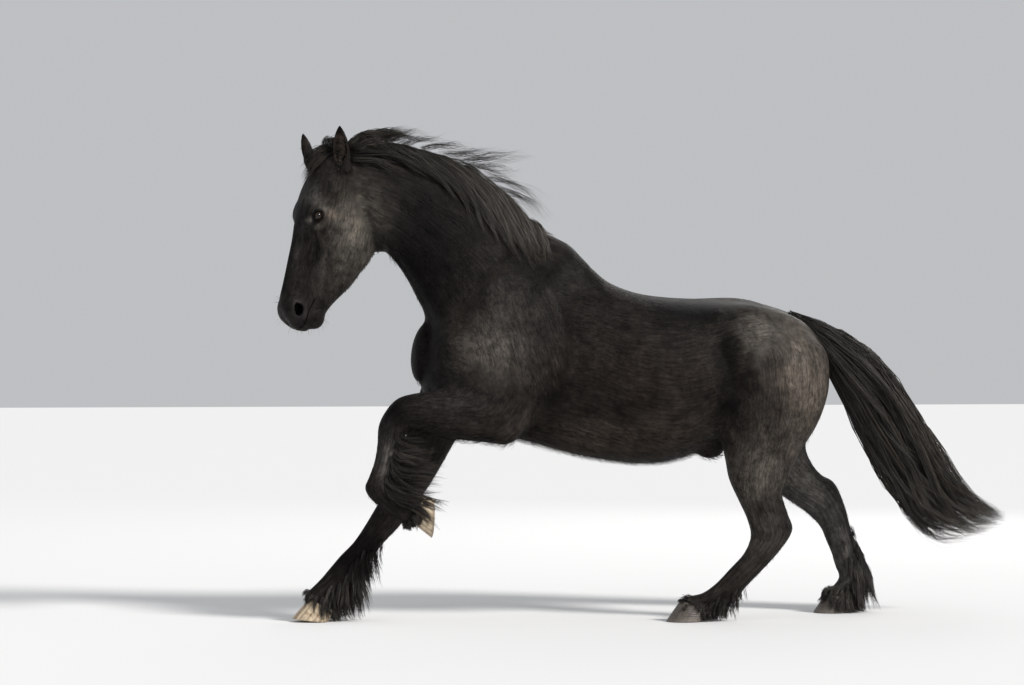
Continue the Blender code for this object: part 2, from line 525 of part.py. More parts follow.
def surface(fn, lo, hi, fine, top, level_of, project=2, slack=1.25):
    """closed mesh of fn = 0, with cells of fine*2**level where level_of(points) gives each block's level"""
    lo = np.asarray(lo, float)
    B = 1 << top
    nb = np.ceil((np.asarray(hi)-lo)/(fine*B)).astype(int)
    cells = np.stack(np.meshgrid(*[np.arange(k) for k in nb], indexing="ij"), -1).reshape(-1, 3)
    blev = np.clip(level_of(lo+(cells+.5)*fine*B), 0, top).astype(np.int8).reshape(nb)

    def lev_at(p):
        q = np.clip(p//B, 0, nb-1)
        return blev[q[:, 0], q[:, 1], q[:, 2]]
    leaf_pos, leaf_lev = [], []
    cur = cells*B
    for L in range(top, -1, -1):
        s = 1 << L
        if not len(cur):
            break
        d = fn(lo+(cur+s*.5)*fine)
        cur = cur[np.abs(d) < s*fine*slack+.003]
        stop = lev_at(cur) >= L
        leaf_pos.append(cur[stop])
        leaf_lev.append(np.full(stop.sum(), L))
        cur = cur[~stop]
        if L:
            cur = (cur[:, None, :]+CORN[None]*(s >> 1)).reshape(-1, 3)
    pos, lev = np.vstack(leaf_pos), np.concatenate(leaf_lev)
    size = (1 << lev)[:, None]
    cor = pos[:, None, :]+CORN[None]*size[:, None, :]
    uk, first, inv = np.unique(key(cor.reshape(-1, 3)), return_index=True, return_inverse=True)
    uval = fn(lo+cor.reshape(-1, 3)[first]*fine)
    cv = uval[inv].reshape(-1, 8)
    ins = cv < 0
    act = ins.any(1) & ~ins.all(1)
    pos, lev, cor, cv, size = pos[act], lev[act], cor[act], cv[act], size[act]
    acc, cnt = np.zeros((len(pos), 3)), np.zeros(len(pos))
    E = []
    for ax in range(3):
        for i in range(8):
            if CORN[i][ax] == 0:
                j = i+(4, 2, 1)[ax]
                m = (cv[:, i] < 0) != (cv[:, j] < 0)
                t = cv[m, i]/(cv[m, i]-cv[m, j])
                p = cor[m, i].astype(float)
                p[:, ax] += t*size[m, 0]
                acc[m] += p
                cnt[m] += 1
                E.append((np.full(m.sum(), ax), cor[m, i], lev[m], cv[m, i] < 0, p))
    ax, ep, el, ei, ex = [np.concatenate([e[i] for e in E]) for i in range(5)]
    _, k = np.unique(key(ep)*16+ax*4+el, return_index=True)
    ax, ep, el, ei, ex = ax[k], ep[k], el[k], ei[k], ex[k]
    verts = acc/cnt[:, None]
    lk = key(pos)
    row = np.arange(len(ax))
    want = np.zeros((len(ax), 4), np.int64)
    ok = np.ones(len(ax), bool)
    for i, (s1, s2) in enumerate([(-1, -1), (0, -1), (0, 0), (-1, 0)]):
        p = ep.copy()
        p[row, (ax+1) % 3] += s1
        p[row, (ax+2) % 3] += s2
        Lq = lev_at(p)
        ok &= Lq >= el
        want[:, i] = key(np.maximum((p >> Lq[:, None]) << Lq[:, None], 0))
    want, ei, ex, el = want[ok], ei[ok], ex[ok], el[ok]
    # a large cell beside small ones may be crossed only along its side: it gets a vertex there
    flat = want.reshape(-1)
    extra = np.setdiff1d(flat, lk)
    if len(extra):
        at = np.searchsorted(extra, flat)
        at = np.clip(at, 0, len(extra)-1)
        hit = extra[at] == flat
        s = np.zeros((len(extra), 3))
        n = np.zeros(len(extra))
        np.add.at(s, at[hit], np.repeat(ex, 4, axis=0)[hit])
        np.add.at(n, at[hit], 1)
        verts = np.vstack([verts, s/n[:, None]])
        lk = np.concatenate([lk, extra])
        lev = np.concatenate([lev, np.full(len(extra), lev.max())])
    order = np.argsort(lk)
    ring = order[np.searchsorted(lk[order], flat)].reshape(-1, 4)
    ring[~ei] = ring[~ei][:, ::-1]
    same = ring == np.roll(ring, -1, axis=1)
    ns = same.sum(1)
    quads = ring[ns == 0]
    tris = ring[ns == 1][~same[ns == 1]].reshape(-1, 3)
    verts = lo+verts*fine
    for _ in range(project):
        verts = to_surface(fn, verts, (1 << lev)*fine*.35)
    return verts, quads, tris


# ---- the pieces
ORIGIN = (.201, .0, .0)          # middle of the animal's box on the floor, in the frame used above
SLIT = .0006                     # a parting cut's width
GAP = .0005                      # between pieces that lie on each other
BODY_FACES, TAIL_FACES, MANE_FACES, FORELOCK_FACES = 3750, 440, 400, 90

for ob in list(bpy.data.objects):
    bpy.data.objects.remove(ob, do_unlink=True)
scene = bpy.context.scene


def material(name, colour, rough, metal=0.0):
    m = bpy.data.materials.new(name)
    m.use_nodes = True
    b = m.node_tree.nodes["Principled BSDF"]
    b.inputs["Base Color"].default_value = (*colour, 1)
    b.inputs["Roughness"].default_value = rough
    b.inputs["Metallic"].default_value = metal
    return m

COAT, HAIR = (.020, .017, .015), (.012, .011, .011)
HORN_LIGHT, HORN_DARK, IRIS = (.62, .55, .44), (.10, .085, .07), (.045, .02, .01)


def new_object(name, verts, faces, mat=None):
    me = bpy.data.meshes.new(name)
    me.from_pydata([tuple(v) for v in verts], [], [tuple(f) for f in faces])
    me.validate()
    me.update()
    ob = bpy.data.objects.new(name, me)
    scene.collection.objects.link(ob)
    if mat:
        me.materials.append(mat)
    return ob


def tidy(me):
    bm = bmesh.new()
    bm.from_mesh(me)
    bmesh.ops.triangulate(bm, faces=bm.faces)
    bmesh.ops.recalc_face_normals(bm, faces=bm.faces)
    bm.to_mesh(me)
    bm.free()


def evaluated(ob, name):
    """the object with its modifiers worked in, as a new object; the old one goes"""
    dg = bpy.context.evaluated_depsgraph_get()
    me = bpy.data.meshes.new_from_object(ob.evaluated_get(dg))
    mats = list(ob.data.materials)
    bpy.data.objects.remove(ob, do_unlink=True)
    me.materials.clear()
    for m in mats:
        me.materials.append(m)
    new = bpy.data.objects.new(name, me)
    scene.collection.objects.link(new)
    return new


def simplify(ob, faces):
    n = sum(len(p.vertices)-2 for p in ob.data.polygons)
    if n <= faces:
        return ob
    mod = ob.modifiers.new("Decimate", "DECIMATE")
    mod.ratio = faces/n
    mod.use_collapse_triangulate = True
    return evaluated(ob, ob.name)


def cut(ob, cutters):
    for c in cutters:
        mod = ob.modifiers.new("Boolean", "BOOLEAN")
        mod.operation, mod.solver, mod.object = "DIFFERENCE", "EXACT", c
    return evaluated(ob, ob.name)


def inflated(ob, by):
    """a copy of a closed mesh, moved out along its normals"""
    bm = bmesh.new()
    bm.from_mesh(ob.data)
    bm.normal_update()
    moved = []
    for v in bm.verts:
        # far enough that each neighbouring face moves by the full amount
        worst = min((v.normal.dot(f.normal) for f in v.link_faces), default=1)
        moved.append(v.co+v.normal*by/max(worst, .35))
    for v, co in zip(bm.verts, moved):
        v.co = co
    me = bpy.data.meshes.new("cutter")
    bm.to_mesh(me)
    bm.free()
    c = bpy.data.objects.new("cutter", me)
    scene.collection.objects.link(c)
    c.hide_render, c.display_type = True, "WIRE"
    return c


def unpinched(ob, radius=.007):
    """where thin hair folds onto itself along an edge, a small nick keeps the two sides apart"""
    bm = bmesh.new()
    bm.from_mesh(ob.data)
    spots = [(e.verts[0].co+e.verts[1].co)/2 for e in bm.edges if len(e.link_faces) != 2]
    bm.free()
    nicks = []
    for p in spots:
        if all((p-q).length > radius for q in nicks):
            nicks.append(p)
    if not nicks:
        return ob
    balls = []
    for p in nicks:
        me = bpy.data.meshes.new("nick")
        bm = bmesh.new()
        bmesh.ops.create_icosphere(bm, subdivisions=1, radius=radius, matrix=Matrix.Translation(p))
        bm.to_mesh(me)
        bm.free()
        b = bpy.data.objects.new("nick", me)
        scene.collection.objects.link(b)
        balls.append(b)
    ob = cut(ob, balls)
    drop(*balls)
    return ob


def drop(*obs):
    for o in obs:
        bpy.data.objects.remove(o, do_unlink=True)


def sliver(name, centre, normal, half_long, half_wide, about=(0, 1, 0)):
    """a thin box that parts the body, square to normal"""
    n = Vector(normal).normalized()
    y = Vector(about)
    y = (y-n*y.dot(n)).normalized()
    x = y.cross(n)
    me = bpy.data.meshes.new(name)
    bm = bmesh.new()
    bmesh.ops.create_cube(bm, size=2)
    R = Matrix((x, y, n)).transposed().to_4x4()
    bmesh.ops.transform(bm, matrix=Matrix.Translation(centre) @ R @ Matrix.Diagonal((half_long, half_wide, SLIT/2, 1)), verts=bm.verts)
    bm.to_mesh(me)
    bm.free()
    c = bpy.data.objects.new(name, me)
    scene.collection.objects.link(c)
    c.hide_render, c.display_type = True, "WIRE"
    return c


def islands(ob):
    """closed shells of a mesh, as lists of vertices and faces"""
    bm = bmesh.new()
    bm.from_mesh(ob.data)
    bm.verts.ensure_lookup_table()
    seen, out = set(), []
    for v in bm.verts:
        if v.index in seen:
            continue
        stack, comp = [v], []
        seen.add(v.index)
        while stack:
            a = stack.pop()
            comp.append(a)
            for e in a.link_edges:
                b = e.other_vert(a)
                if b.index not in seen:
                    seen.add(b.index)
                    stack.append(b)
        ids = {a.index: i for i, a in enumerate(comp)}
        faces = {f for a in comp for f in a.link_faces}
        faces = sorted(faces, key=lambda f: f.index)
        out.append(([a.co.copy() for a in comp], [[ids[x.index] for x in f.verts] for f in faces]))
    bm.free()
    return out


def meshed(name, fn, lo, hi, fine, top, levels, faces, mat):
    V, Q, T = surface(fn, lo, hi, fine, top, levels)
    ob = new_object(name, V, Q.tolist()+T.tolist(), mat)
    tidy(ob.data)
    parts = sorted(islands(ob), key=lambda p: -len(p[0]))
    drop(ob)
    ob = new_object(name, *parts[0], mat)
    return simplify(ob, faces)


def body_levels(P):
    """smaller cells on the head and the lower legs"""
    near_head = np.linalg.norm((P-np.array([-1.11, -.09, 1.5]))/np.array([.25, .25, .40]), axis=1) < 1
    return np.where(near_head | (P[:, 2] < .5), 1, 2)


def body_form(P):
    d = flesh(P)
    for k in LEGS:
        d = smin(d, feathers(P, k), .030)
    return d


def hoof_mesh(name, mat, grow=0.0, rings=(0, 1.0), count=18):
    """the hoof's wall, flat sole and coronet, lofted"""
    c, f, s, up = hoof_frame(name)
    hind = .94 if name.startswith("hind") else 1.0
    rows = []
    for t in rings:
        row = []
        for i in range(count):
            a = 2*math.pi*i/count
            ca, sa = math.cos(a), math.sin(a)
            back = .90 if ca < 0 else 1.0
            e = 2.6 if ca < 0 else 2.1
            x = math.copysign(abs(ca)**(2/e), ca)*(HOOF_LONG-.013*t)*back
            y = math.copysign(abs(sa)**(2/e), sa)*(HOOF_WIDE-.013*t)*hind
            z = t*(HOOF_HEEL+(HOOF_TOE-HOOF_HEEL)*min(1, max(0, (x+HOOF_LONG)/(2*HOOF_LONG))))
            p = c+f*(x-.050*z/HOOF_TOE)+s*y+up*z
            row.append(p)
        rows.append(row)
    verts = [p for r in rows for p in r]
    n = count
    faces = [[k*n+i, k*n+(i+1) % n, (k+1)*n+(i+1) % n, (k+1)*n+i] for k in range(len(rows)-1) for i in range(n)]
    top = len(rows)-1
    faces += [[i for i in range(n)][::-1], [top*n+i for i in range(n)]]
    ob = new_object(name+"_hoof", verts, faces, mat)
    tidy(ob.data)
    return ob


def ball(name, centre, radius, mat, cols=14, rows=8):
    me = bpy.data.meshes.new(name)
    bm = bmesh.new()
    bmesh.ops.create_uvsphere(bm, u_segments=cols, v_segments=rows, radius=radius, matrix=Matrix.Translation(centre))
    bm.to_mesh(me)
    bm.free()
    ob = bpy.data.objects.new(name, me)
    scene.collection.objects.link(ob)
    me.materials.append(mat)
    return ob


coat, hair = material("coat", COAT, .5), material("hair", HAIR, .45)
light, dark, iris = material("hoof_light", HORN_LIGHT, .6), material("hoof_dark", HORN_DARK, .55), material("eye", IRIS, .05)

body = meshed("body", body_form, (-1.32, -.46, -.03), (1.2, .46, 1.98), .006, 3, body_levels, BODY_FACES, coat)
hooves = {k: hoof_mesh(k, light if k.startswith("fore") else dark) for k in HOOVES}
eyes = {s: ball("eye_"+s, Vector(from_head((EYE[0], w*EYE[1], EYE[2]))), EYE_RADIUS, iris) for s, w in (("left", -1), ("right", 1))}


def floor_block(top):
    """everything lower than the floor is cut off"""
    me = bpy.data.meshes.new("under")
    bm = bmesh.new()
    bmesh.ops.create_cube(bm, size=2)
    bmesh.ops.transform(bm, matrix=Matrix.Translation((0, 0, top-.4)) @ Matrix.Diagonal((3, 1, .4, 1)), verts=bm.verts)
    bm.to_mesh(me)
    bm.free()
    o = bpy.data.objects.new("under", me)
    scene.collection.objects.link(o)
    return o


under = floor_block(.002)
level = floor_block(0)
hooves = {k: cut(h, [level]) if k != "fore_left" else h for k, h in hooves.items()}
drop(level)
hoof_cutters = [inflated(h, GAP) for h in hooves.values()]
eye_cutters = [inflated(e, GAP) for e in eyes.values()]
body_solid = inflated(body, GAP)      # the whole body, for cutting what lies on it


def ear_solid(side, mat, levels=7, around=7, thick=.008):
    """a cupped leaf, lofted from crescents and open to the front"""
    base, tip, opening = [np.array(x, float) for x in EARS[side]]
    ax = tip-base
    L = np.linalg.norm(ax)
    ax = ax/L
    op = opening-ax*(opening@ax)
    op /= np.linalg.norm(op)
    sd = np.cross(ax, op)
    verts, faces = [], []
    for k in range(levels):
        t = k/(levels-1)
        w = EAR_HALF*np.interp(t, *zip(*EAR_WIDTHS))*(1 if k < levels-1 else 1.6)
        wi = max(w-thick, w*.45)
        c = base+ax*L*t-op*.030*(t-.30)**2
        spread = math.radians(np.interp(t, (0, .3, 1), (172, 128, 110)))
        row = [c-op*math.cos(a)*w*.78+sd*math.sin(a)*w for a in np.linspace(-spread, spread, around)]
        row += [c-op*math.cos(a)*wi*.78+op*.004+sd*math.sin(a)*wi for a in np.linspace(spread, -spread, around)]
        verts += row
    n = 2*around
    for k in range(levels-1):
        faces += [[k*n+i, k*n+(i+1) % n, (k+1)*n+(i+1) % n, (k+1)*n+i] for i in range(n)]
    faces += [[i, n-1-i, n-2-i, i+1] for i in range(around-1)]
    o = (levels-1)*n
    faces += [[o+i, o+i+1, o+n-2-i, o+n-1-i] for i in range(around-1)]
    ob = new_object("ear_"+side, verts, faces, mat)
    tidy(ob.data)
    return ob

# ears, cut off where they meet the head
ears = {s: cut(ear_solid(s, coat), [body_solid]) for s in EARS}
ear_cutters = [inflated(e, GAP) for e in ears.values()]

mane_ob = meshed("mane", mane, (-1.15, -.40, .85), (.02, .42, 1.95), .007, 2, lambda P: np.full(len(P), 1), MANE_FACES, hair)
mane_ob = unpinched(cut(mane_ob, [body_solid]+ear_cutters))
lock = meshed("forelock", forelock, (-1.25, -.25, 1.60), (-.90, .15, 1.95), .006, 2, lambda P: np.full(len(P), 1), FORELOCK_FACES, hair)
mane_cutter = inflated(mane_ob, GAP)
lock = cut(lock, [body_solid, mane_cutter]+ear_cutters)
tail_ob = meshed("tail", _tail, (.70, -.20, .20), (1.80, .20, 1.25), .007, 2, lambda P: np.full(len(P), 1), TAIL_FACES, hair)
tail_ob = cut(tail_ob, [body_solid])

# thin cuts: place, direction that they face, half sizes
body_cuts = {
    "head": ((-.920, -.060, 1.600), (.90, .30, .28), .25, .15),
    "neck": ((-.435, 0, 1.295), (.597, 0, -.80), .40, .30),
    "fore_left_top": ((-.660, -.17, .830), (.768, 0, .64), .19, .14),
    "fore_left_knee": ((-.835, -.15, .735), (-.25, 0, -1), .12, .10),
    "fore_left_foot": ((-.835, -.145, .560), (-.10, 0, -1), .13, .10),
    "fore_right_top": ((-.600, .15, .765), (-.62, 0, -.80), .15, .12),
    "fore_right_knee": ((-.815, .122, .405), (-.62, 0, -.78), .11, .09),
    "fore_right_foot": ((-.935, .110, .250), (-.62, 0, -.78), .14, .10),
    "hind_left_top": ((.640, -.20, .775), (.50, 0, -1), .32, .195),
    "hind_left_hock": ((.628, -.165, .300), (-.45, 0, -1), .12, .09),
    "hind_left_foot": ((.500, -.155, .150), (-.75, 0, -.66), .12, .09),
    "hind_right_top": ((.700, .20, .800), (.45, 0, -1), .30, .185),
    "hind_right_hock": ((.985, .157, .330), (.35, 0, -1), .12, .09),
    "hind_right_foot": ((1.040, .149, .225), (.20, 0, -1), .12, .09),
}
cutters = [sliver("cut_"+k, *v) for k, v in body_cuts.items()]
body = cut(body, cutters+hoof_cutters+eye_cutters+[under])
tail_cuts = [sliver("cut_tail_1", (1.075, 0, .86), (.62, 0, -.78), .25, .2), sliver("cut_tail_2", (1.29, 0, .58), (.62, 0, -.78), .25, .2)]
tail_ob = cut(tail_ob, tail_cuts)
drop(under, body_solid, mane_cutter, *cutters, *hoof_cutters, *eye_cutters, *ear_cutters, *tail_cuts)

# a point in each length names it
WHERE = {
    "head": (-1.10, -.09, 1.50), "neck": (-.72, -.03, 1.45), "trunk": (.15, 0, .95),
    "fore_left_forearm": (-.70, -.16, .80), "fore_left_cannon": (-.84, -.145, .65), "fore_left_pastern": (-.83, -.14, .46),
    "fore_right_forearm": (-.66, .145, .62), "fore_right_cannon": (-.87, .118, .33), "fore_right_pastern": (-1.02, .105, .17),
    "hind_left_thigh": (.60, -.17, .55), "hind_left_cannon": (.58, -.16, .23), "hind_left_pastern": (.42, -.15, .08),
    "hind_right_thigh": (.82, .17, .58), "hind_right_cannon": (1.02, .15, .28), "hind_right_pastern": (1.05, .145, .13),
}


def name_islands(ob, where, mat):
    found = {}
    for verts, faces in islands(ob):
        if len(verts) < 12:
            continue
        lo = [min(v[i] for v in verts) for i in range(3)]
        hi = [max(v[i] for v in verts) for i in range(3)]
        c = sum(verts, Vector())/len(verts)
        key_ = min(where, key=lambda k: (Vector(where[k])-c).length)
        if key_ not in found or len(verts) > len(found[key_][0]):
            found[key_] = (verts, faces)
    drop(ob)
    for k, (verts, faces) in found.items():
        o = new_object(k, verts, faces, mat)
        tidy(o.data)
    return found

name_islands(body, WHERE, coat)
name_islands(tail_ob, {"tail_upper": (.99, 0, .96), "tail_middle": (1.18, 0, .72), "tail_tip": (1.40, 0, .43)}, hair)
for o in list(ears.values())+[mane_ob, lock]:
    name = o.name
    parts = sorted(islands(o), key=lambda p: -len(p[0]))
    m = o.data.materials[0]
    drop(o)
    n = new_object(name, *parts[0], m)
    tidy(n.data)

for ob in list(bpy.data.objects):
    ob.data.transform(Matrix.Translation((-ORIGIN[0], -ORIGIN[1], -ORIGIN[2])))
    ob.data.shade_smooth()
    ob.data.set_sharp_from_angle(angle=math.radians(50))
    own = ob.data.materials[0].copy()      # each piece has its own material
    own.name = ob.name
    ob.data.materials[0] = own
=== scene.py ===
# A Friesian horse in canter, life size: skin, eyes, hooves and hair around the fixed frame of solids.
import math
import time
import bmesh
import bpy
import numpy as np
from mathutils import Matrix, Vector
from mathutils.bvhtree import BVHTree


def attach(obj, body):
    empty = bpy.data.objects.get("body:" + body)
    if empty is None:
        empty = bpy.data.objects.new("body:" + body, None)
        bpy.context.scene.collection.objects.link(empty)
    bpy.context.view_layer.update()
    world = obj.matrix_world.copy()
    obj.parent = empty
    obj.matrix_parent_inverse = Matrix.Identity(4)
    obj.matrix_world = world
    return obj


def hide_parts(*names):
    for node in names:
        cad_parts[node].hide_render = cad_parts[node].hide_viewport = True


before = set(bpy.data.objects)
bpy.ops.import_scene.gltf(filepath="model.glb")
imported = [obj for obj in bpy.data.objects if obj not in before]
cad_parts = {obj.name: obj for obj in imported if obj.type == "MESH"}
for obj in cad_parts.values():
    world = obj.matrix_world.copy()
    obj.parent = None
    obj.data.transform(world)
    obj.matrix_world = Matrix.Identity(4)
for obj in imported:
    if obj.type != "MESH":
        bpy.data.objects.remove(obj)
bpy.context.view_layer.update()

T0 = time.time()
scene = bpy.context.scene


def said(what):
    print("%6.1f s  %s" % (time.time()-T0, what))


# ---- camera: level, seen from the animal's left, a little from in front of square
ORIGIN = np.array((.201, .0, .0))        # this frame's origin in the frame that the shape below is written in
AZIMUTH, AWAY, EYE_LEVEL = math.radians(-10), 12.0, 1.07
cam = bpy.data.objects.new("camera", bpy.data.cameras.new("camera"))
scene.collection.objects.link(cam)
cam.data.lens, cam.data.sensor_width = 109.69, 36
cam.location = (-.34-ORIGIN[0]+math.sin(AZIMUTH)*AWAY, -math.cos(AZIMUTH)*AWAY, EYE_LEVEL)
cam.rotation_euler = (math.pi/2, 0, AZIMUTH)
scene.camera = cam


# ---- the shape: the same rounded forms as the solids
import math
import numpy as np

FAR = 0.5


def catmull(rows, per):
    """a smooth row of numbers through the given rows"""
    a = np.asarray(rows, float)
    a = np.vstack([2*a[0]-a[1], a, 2*a[-1]-a[-2]])
    out = []
    for i in range(1, len(a)-2):
        p0, p1, p2, p3 = a[i-1], a[i], a[i+1], a[i+2]
        for k in range(per):
            t = k/per
            out.append(0.5*(2*p1+(-p0+p2)*t+(2*p0-5*p1+4*p2-p3)*t*t+(-p0+3*p1-3*p2+p3)*t**3))
    out.append(a[-2])
    return np.array(out)


class Sweep:
    """A rounded body swept along ribs. A rib is a line across the form, seen from the side, with the form's half width:
    (x front, z front, x back, z back, y, half width, place of the widest point from the back, roundness front, back)"""
    def __init__(self, ribs, per=6, cap0=0.5, cap1=0.5, pad=0.10):
        r = catmull(ribs, per)
        f, b = r[:, [0, 1]], r[:, [2, 3]]
        m = np.clip(r[:, 6], .15, .85)
        c = b+(f-b)*m[:, None]
        L = np.linalg.norm(f-b, axis=1)
        n = (f-b)/L[:, None]
        w = np.maximum(r[:, 5], .002)
        self.c3 = np.column_stack([c[:, 0], r[:, 4], c[:, 1]])
        self.tab = np.column_stack([self.c3, n, w, L*(1-m), L*m, r[:, 7], r[:, 8]])
        self.cap0, self.cap1 = cap0, cap1
        ends = [np.column_stack([q[:, 0], r[:, 4]+s*w, q[:, 1]]) for q in (f, b) for s in (-1, 1)]
        ext = np.vstack(ends)
        self.lo, self.hi = ext.min(0)-pad, ext.max(0)+pad
        self.k = np.array([1, .6, 1])

    def __call__(self, P):
        out = np.full(len(P), FAR, np.float32)
        idx = np.nonzero(np.all((P > self.lo) & (P < self.hi), axis=1))[0]
        for s in range(0, len(idx), 60000):
            ii = idx[s:s+60000]
            out[ii] = self.place(P[ii])[0]
        return out

    def place(self, Q):
        """distance, rib number, height above the rib's middle and distance to the side"""
        C = (self.c3*self.k).astype(np.float32)
        M = len(C)
        q4 = Q.astype(np.float32)
        near = ((C**2).sum(1)[None, :]-2*((q4*self.k.astype(np.float32))@C.T)).argmin(1)
        n = self.tab[:, 3:5].astype(np.float32)
        # which side of each rib's line the point is on; it belongs to the rib where that changes
        g = q4[:, [0, 2]]@np.array([n[:, 1], -n[:, 0]])-(C[:, 0]*n[:, 1]-C[:, 2]*n[:, 0])
        cost = np.abs(np.arange(M-1, dtype=np.float32)[None, :]+.5-near[:, None])
        cost[g[:, :-1]*g[:, 1:] > 0] = 1e4
        j = cost.argmin(1)
        row = np.arange(len(Q))
        g0, g1 = g[row, j], g[row, j+1]
        none = cost[row, j] >= 1e4
        f = j+np.where(none, 0, g0/np.where(np.abs(g0-g1) < 1e-9, 1, g0-g1))
        end = np.where(near < M/2, 0, M-1)
        f = np.where(none, end, np.clip(f, 0, M-1))
        over = np.where(none, np.abs(g[row, end]), 0)
        i0 = np.minimum(f.astype(int), M-2)
        a = (f-i0)[:, None]
        T = self.tab[i0]*(1-a)+self.tab[i0+1]*a
        r = Q-T[:, :3]
        u = r[:, 0]*T[:, 3]+r[:, 2]*T[:, 4]
        v = r[:, 1]
        w = T[:, 5]
        h = np.where(u > 0, T[:, 6], T[:, 7])
        e = np.where(u > 0, T[:, 8], T[:, 9])
        cl = np.where(f <= 0, self.cap0, self.cap1)*np.minimum(h, w)
        au, av = np.maximum(np.abs(u/h), 1e-5), np.maximum(np.abs(v/w), 1e-5)
        q2 = (au**e+av**e)**(1/e)
        gu, gv = (au/q2)**(e-1)/h, (av/q2)**(e-1)/w
        o = over/np.maximum(cl, 1e-4)
        q = np.sqrt(q2*q2+o*o)
        gr = np.sqrt((q2/q)**2*(gu*gu+gv*gv)+(o/q/np.maximum(cl, 1e-4))**2)
        return ((q-1)/gr).astype(np.float32), f, u, v


def ellipsoid(P, c, r, R=None, pad=.10):
    c, r = np.asarray(c, float), np.asarray(r, float)
    out = np.full(len(P), FAR, np.float32)
    m = np.all(np.abs(P-c) < max(r)+pad, axis=1)
    q = P[m]-c
    if R is not None:
        q = q@R.T
    k0 = np.sqrt(((q/r)**2).sum(1))
    k1 = np.sqrt(((q/(r*r))**2).sum(1))
    out[m] = np.where(k0 < 1e-6, -r.min(), k0*(k0-1)/np.maximum(k1, 1e-9))
    return out


def bar(P, a, b, ra, rb, flat=1.0, roll=(0, 1, 0), pad=.10):
    """a round bar from a to b; flat scales it along roll"""
    a, b = np.asarray(a, float), np.asarray(b, float)
    out = np.full(len(P), FAR, np.float32)
    lo, hi = np.minimum(a, b)-max(ra, rb)-pad, np.maximum(a, b)+max(ra, rb)+pad
    m = np.all((P > lo) & (P < hi), axis=1)
    Q = P[m]
    if flat != 1.0:
        y = np.asarray(roll, float)
        x = (b-a)/np.linalg.norm(b-a)
        y = y-x*(x@y)
        y /= np.linalg.norm(y)
        Q = Q+np.outer((Q-a)@y, y)*(1/flat-1)
    t = np.clip(((Q-a)@(b-a))/((b-a)@(b-a)), 0, 1)
    d = np.linalg.norm(Q-a-np.outer(t, b-a), axis=1)-(ra+(rb-ra)*t)
    out[m] = d*flat if flat < 1 else d
    return out


def smin(a, b, k):
    h = np.clip(.5+.5*(b-a)/k, 0, 1)
    return b*(1-h)+a*h-k*h*(1-h)


def smax(a, b, k):
    return -smin(-a, -b, k)


def ease(x, a, b):
    t = np.clip((x-a)/(b-a), 0, 1)
    return t*t*(3-2*t)


# ---- stations along the body, the neck and the legs, measured in metres
TRUNK = [
    (-0.665, 1.15, -0.70, 0.915, 0, 0.085, 0.5, 2, 2),  # breast end
    (-0.62, 1.235, -0.67, 0.855, 0, 0.165, 0.5, 2, 2),  # breast
    (-0.525, 1.29, -0.59, 0.78, 0, 0.215, 0.48, 2, 2.1),  # front of the chest
    (-0.385, 1.355, -0.455, 0.725, 0, 0.24, 0.45, 1.8, 2.1),  # point of the shoulder
    (-0.25, 1.42, -0.31, 0.695, 0, 0.25, 0.45, 1.6, 2.1),  # withers, front
    (-0.145, 1.425, -0.185, 0.66, 0, 0.265, 0.46, 1.55, 2.1),  # withers
    (-0.055, 1.38, -0.065, 0.63, 0, 0.285, 0.47, 1.7, 2.1),  # withers, back
    (0.03, 1.31, 0.055, 0.61, 0, 0.305, 0.48, 1.95, 2.1),  # girth
    (0.13, 1.27, 0.165, 0.6, 0, 0.32, 0.48, 2.2, 2.1),  # ribs
    (0.245, 1.25, 0.275, 0.61, 0, 0.325, 0.48, 2.35, 2.1),  # ribs, middle
    (0.36, 1.24, 0.37, 0.64, 0, 0.312, 0.5, 2.45, 2.1),  # belly
    (0.48, 1.235, 0.46, 0.7, 0, 0.29, 0.52, 2.5, 2.1),  # loin
    (0.6, 1.225, 0.555, 0.77, 0, 0.268, 0.52, 2.4, 2),  # flank
    (0.715, 1.185, 0.66, 0.825, 0, 0.235, 0.52, 2.2, 2),  # croup
    (0.805, 1.14, 0.765, 0.87, 0, 0.18, 0.52, 2, 2),  # dock
    (0.87, 1.07, 0.85, 0.925, 0, 0.1, 0.5, 2, 2),  # buttocks
]
NECK = [
    (-1.005, 1.77, -0.885, 1.475, -0.06, 0.072, 0.5, 2, 2),  # poll
    (-0.95, 1.795, -0.84, 1.42, -0.055, 0.08, 0.46, 1.9, 2),  # behind the ears
    (-0.845, 1.815, -0.795, 1.37, -0.05, 0.083, 0.43, 1.75, 2),  # throat
    (-0.73, 1.805, -0.75, 1.305, -0.04, 0.09, 0.41, 1.7, 2),  # upper third
    (-0.615, 1.775, -0.715, 1.24, -0.03, 0.103, 0.4, 1.7, 2),  # crest
    (-0.49, 1.715, -0.685, 1.18, -0.02, 0.122, 0.4, 1.7, 2),  # middle
    (-0.37, 1.625, -0.665, 1.085, -0.01, 0.15, 0.42, 1.7, 2),  # lower third
    (-0.25, 1.52, -0.63, 0.98, 0, 0.18, 0.44, 1.7, 2),  # base
    (-0.145, 1.44, -0.575, 0.87, 0, 0.2, 0.46, 1.7, 2),  # shoulder
]
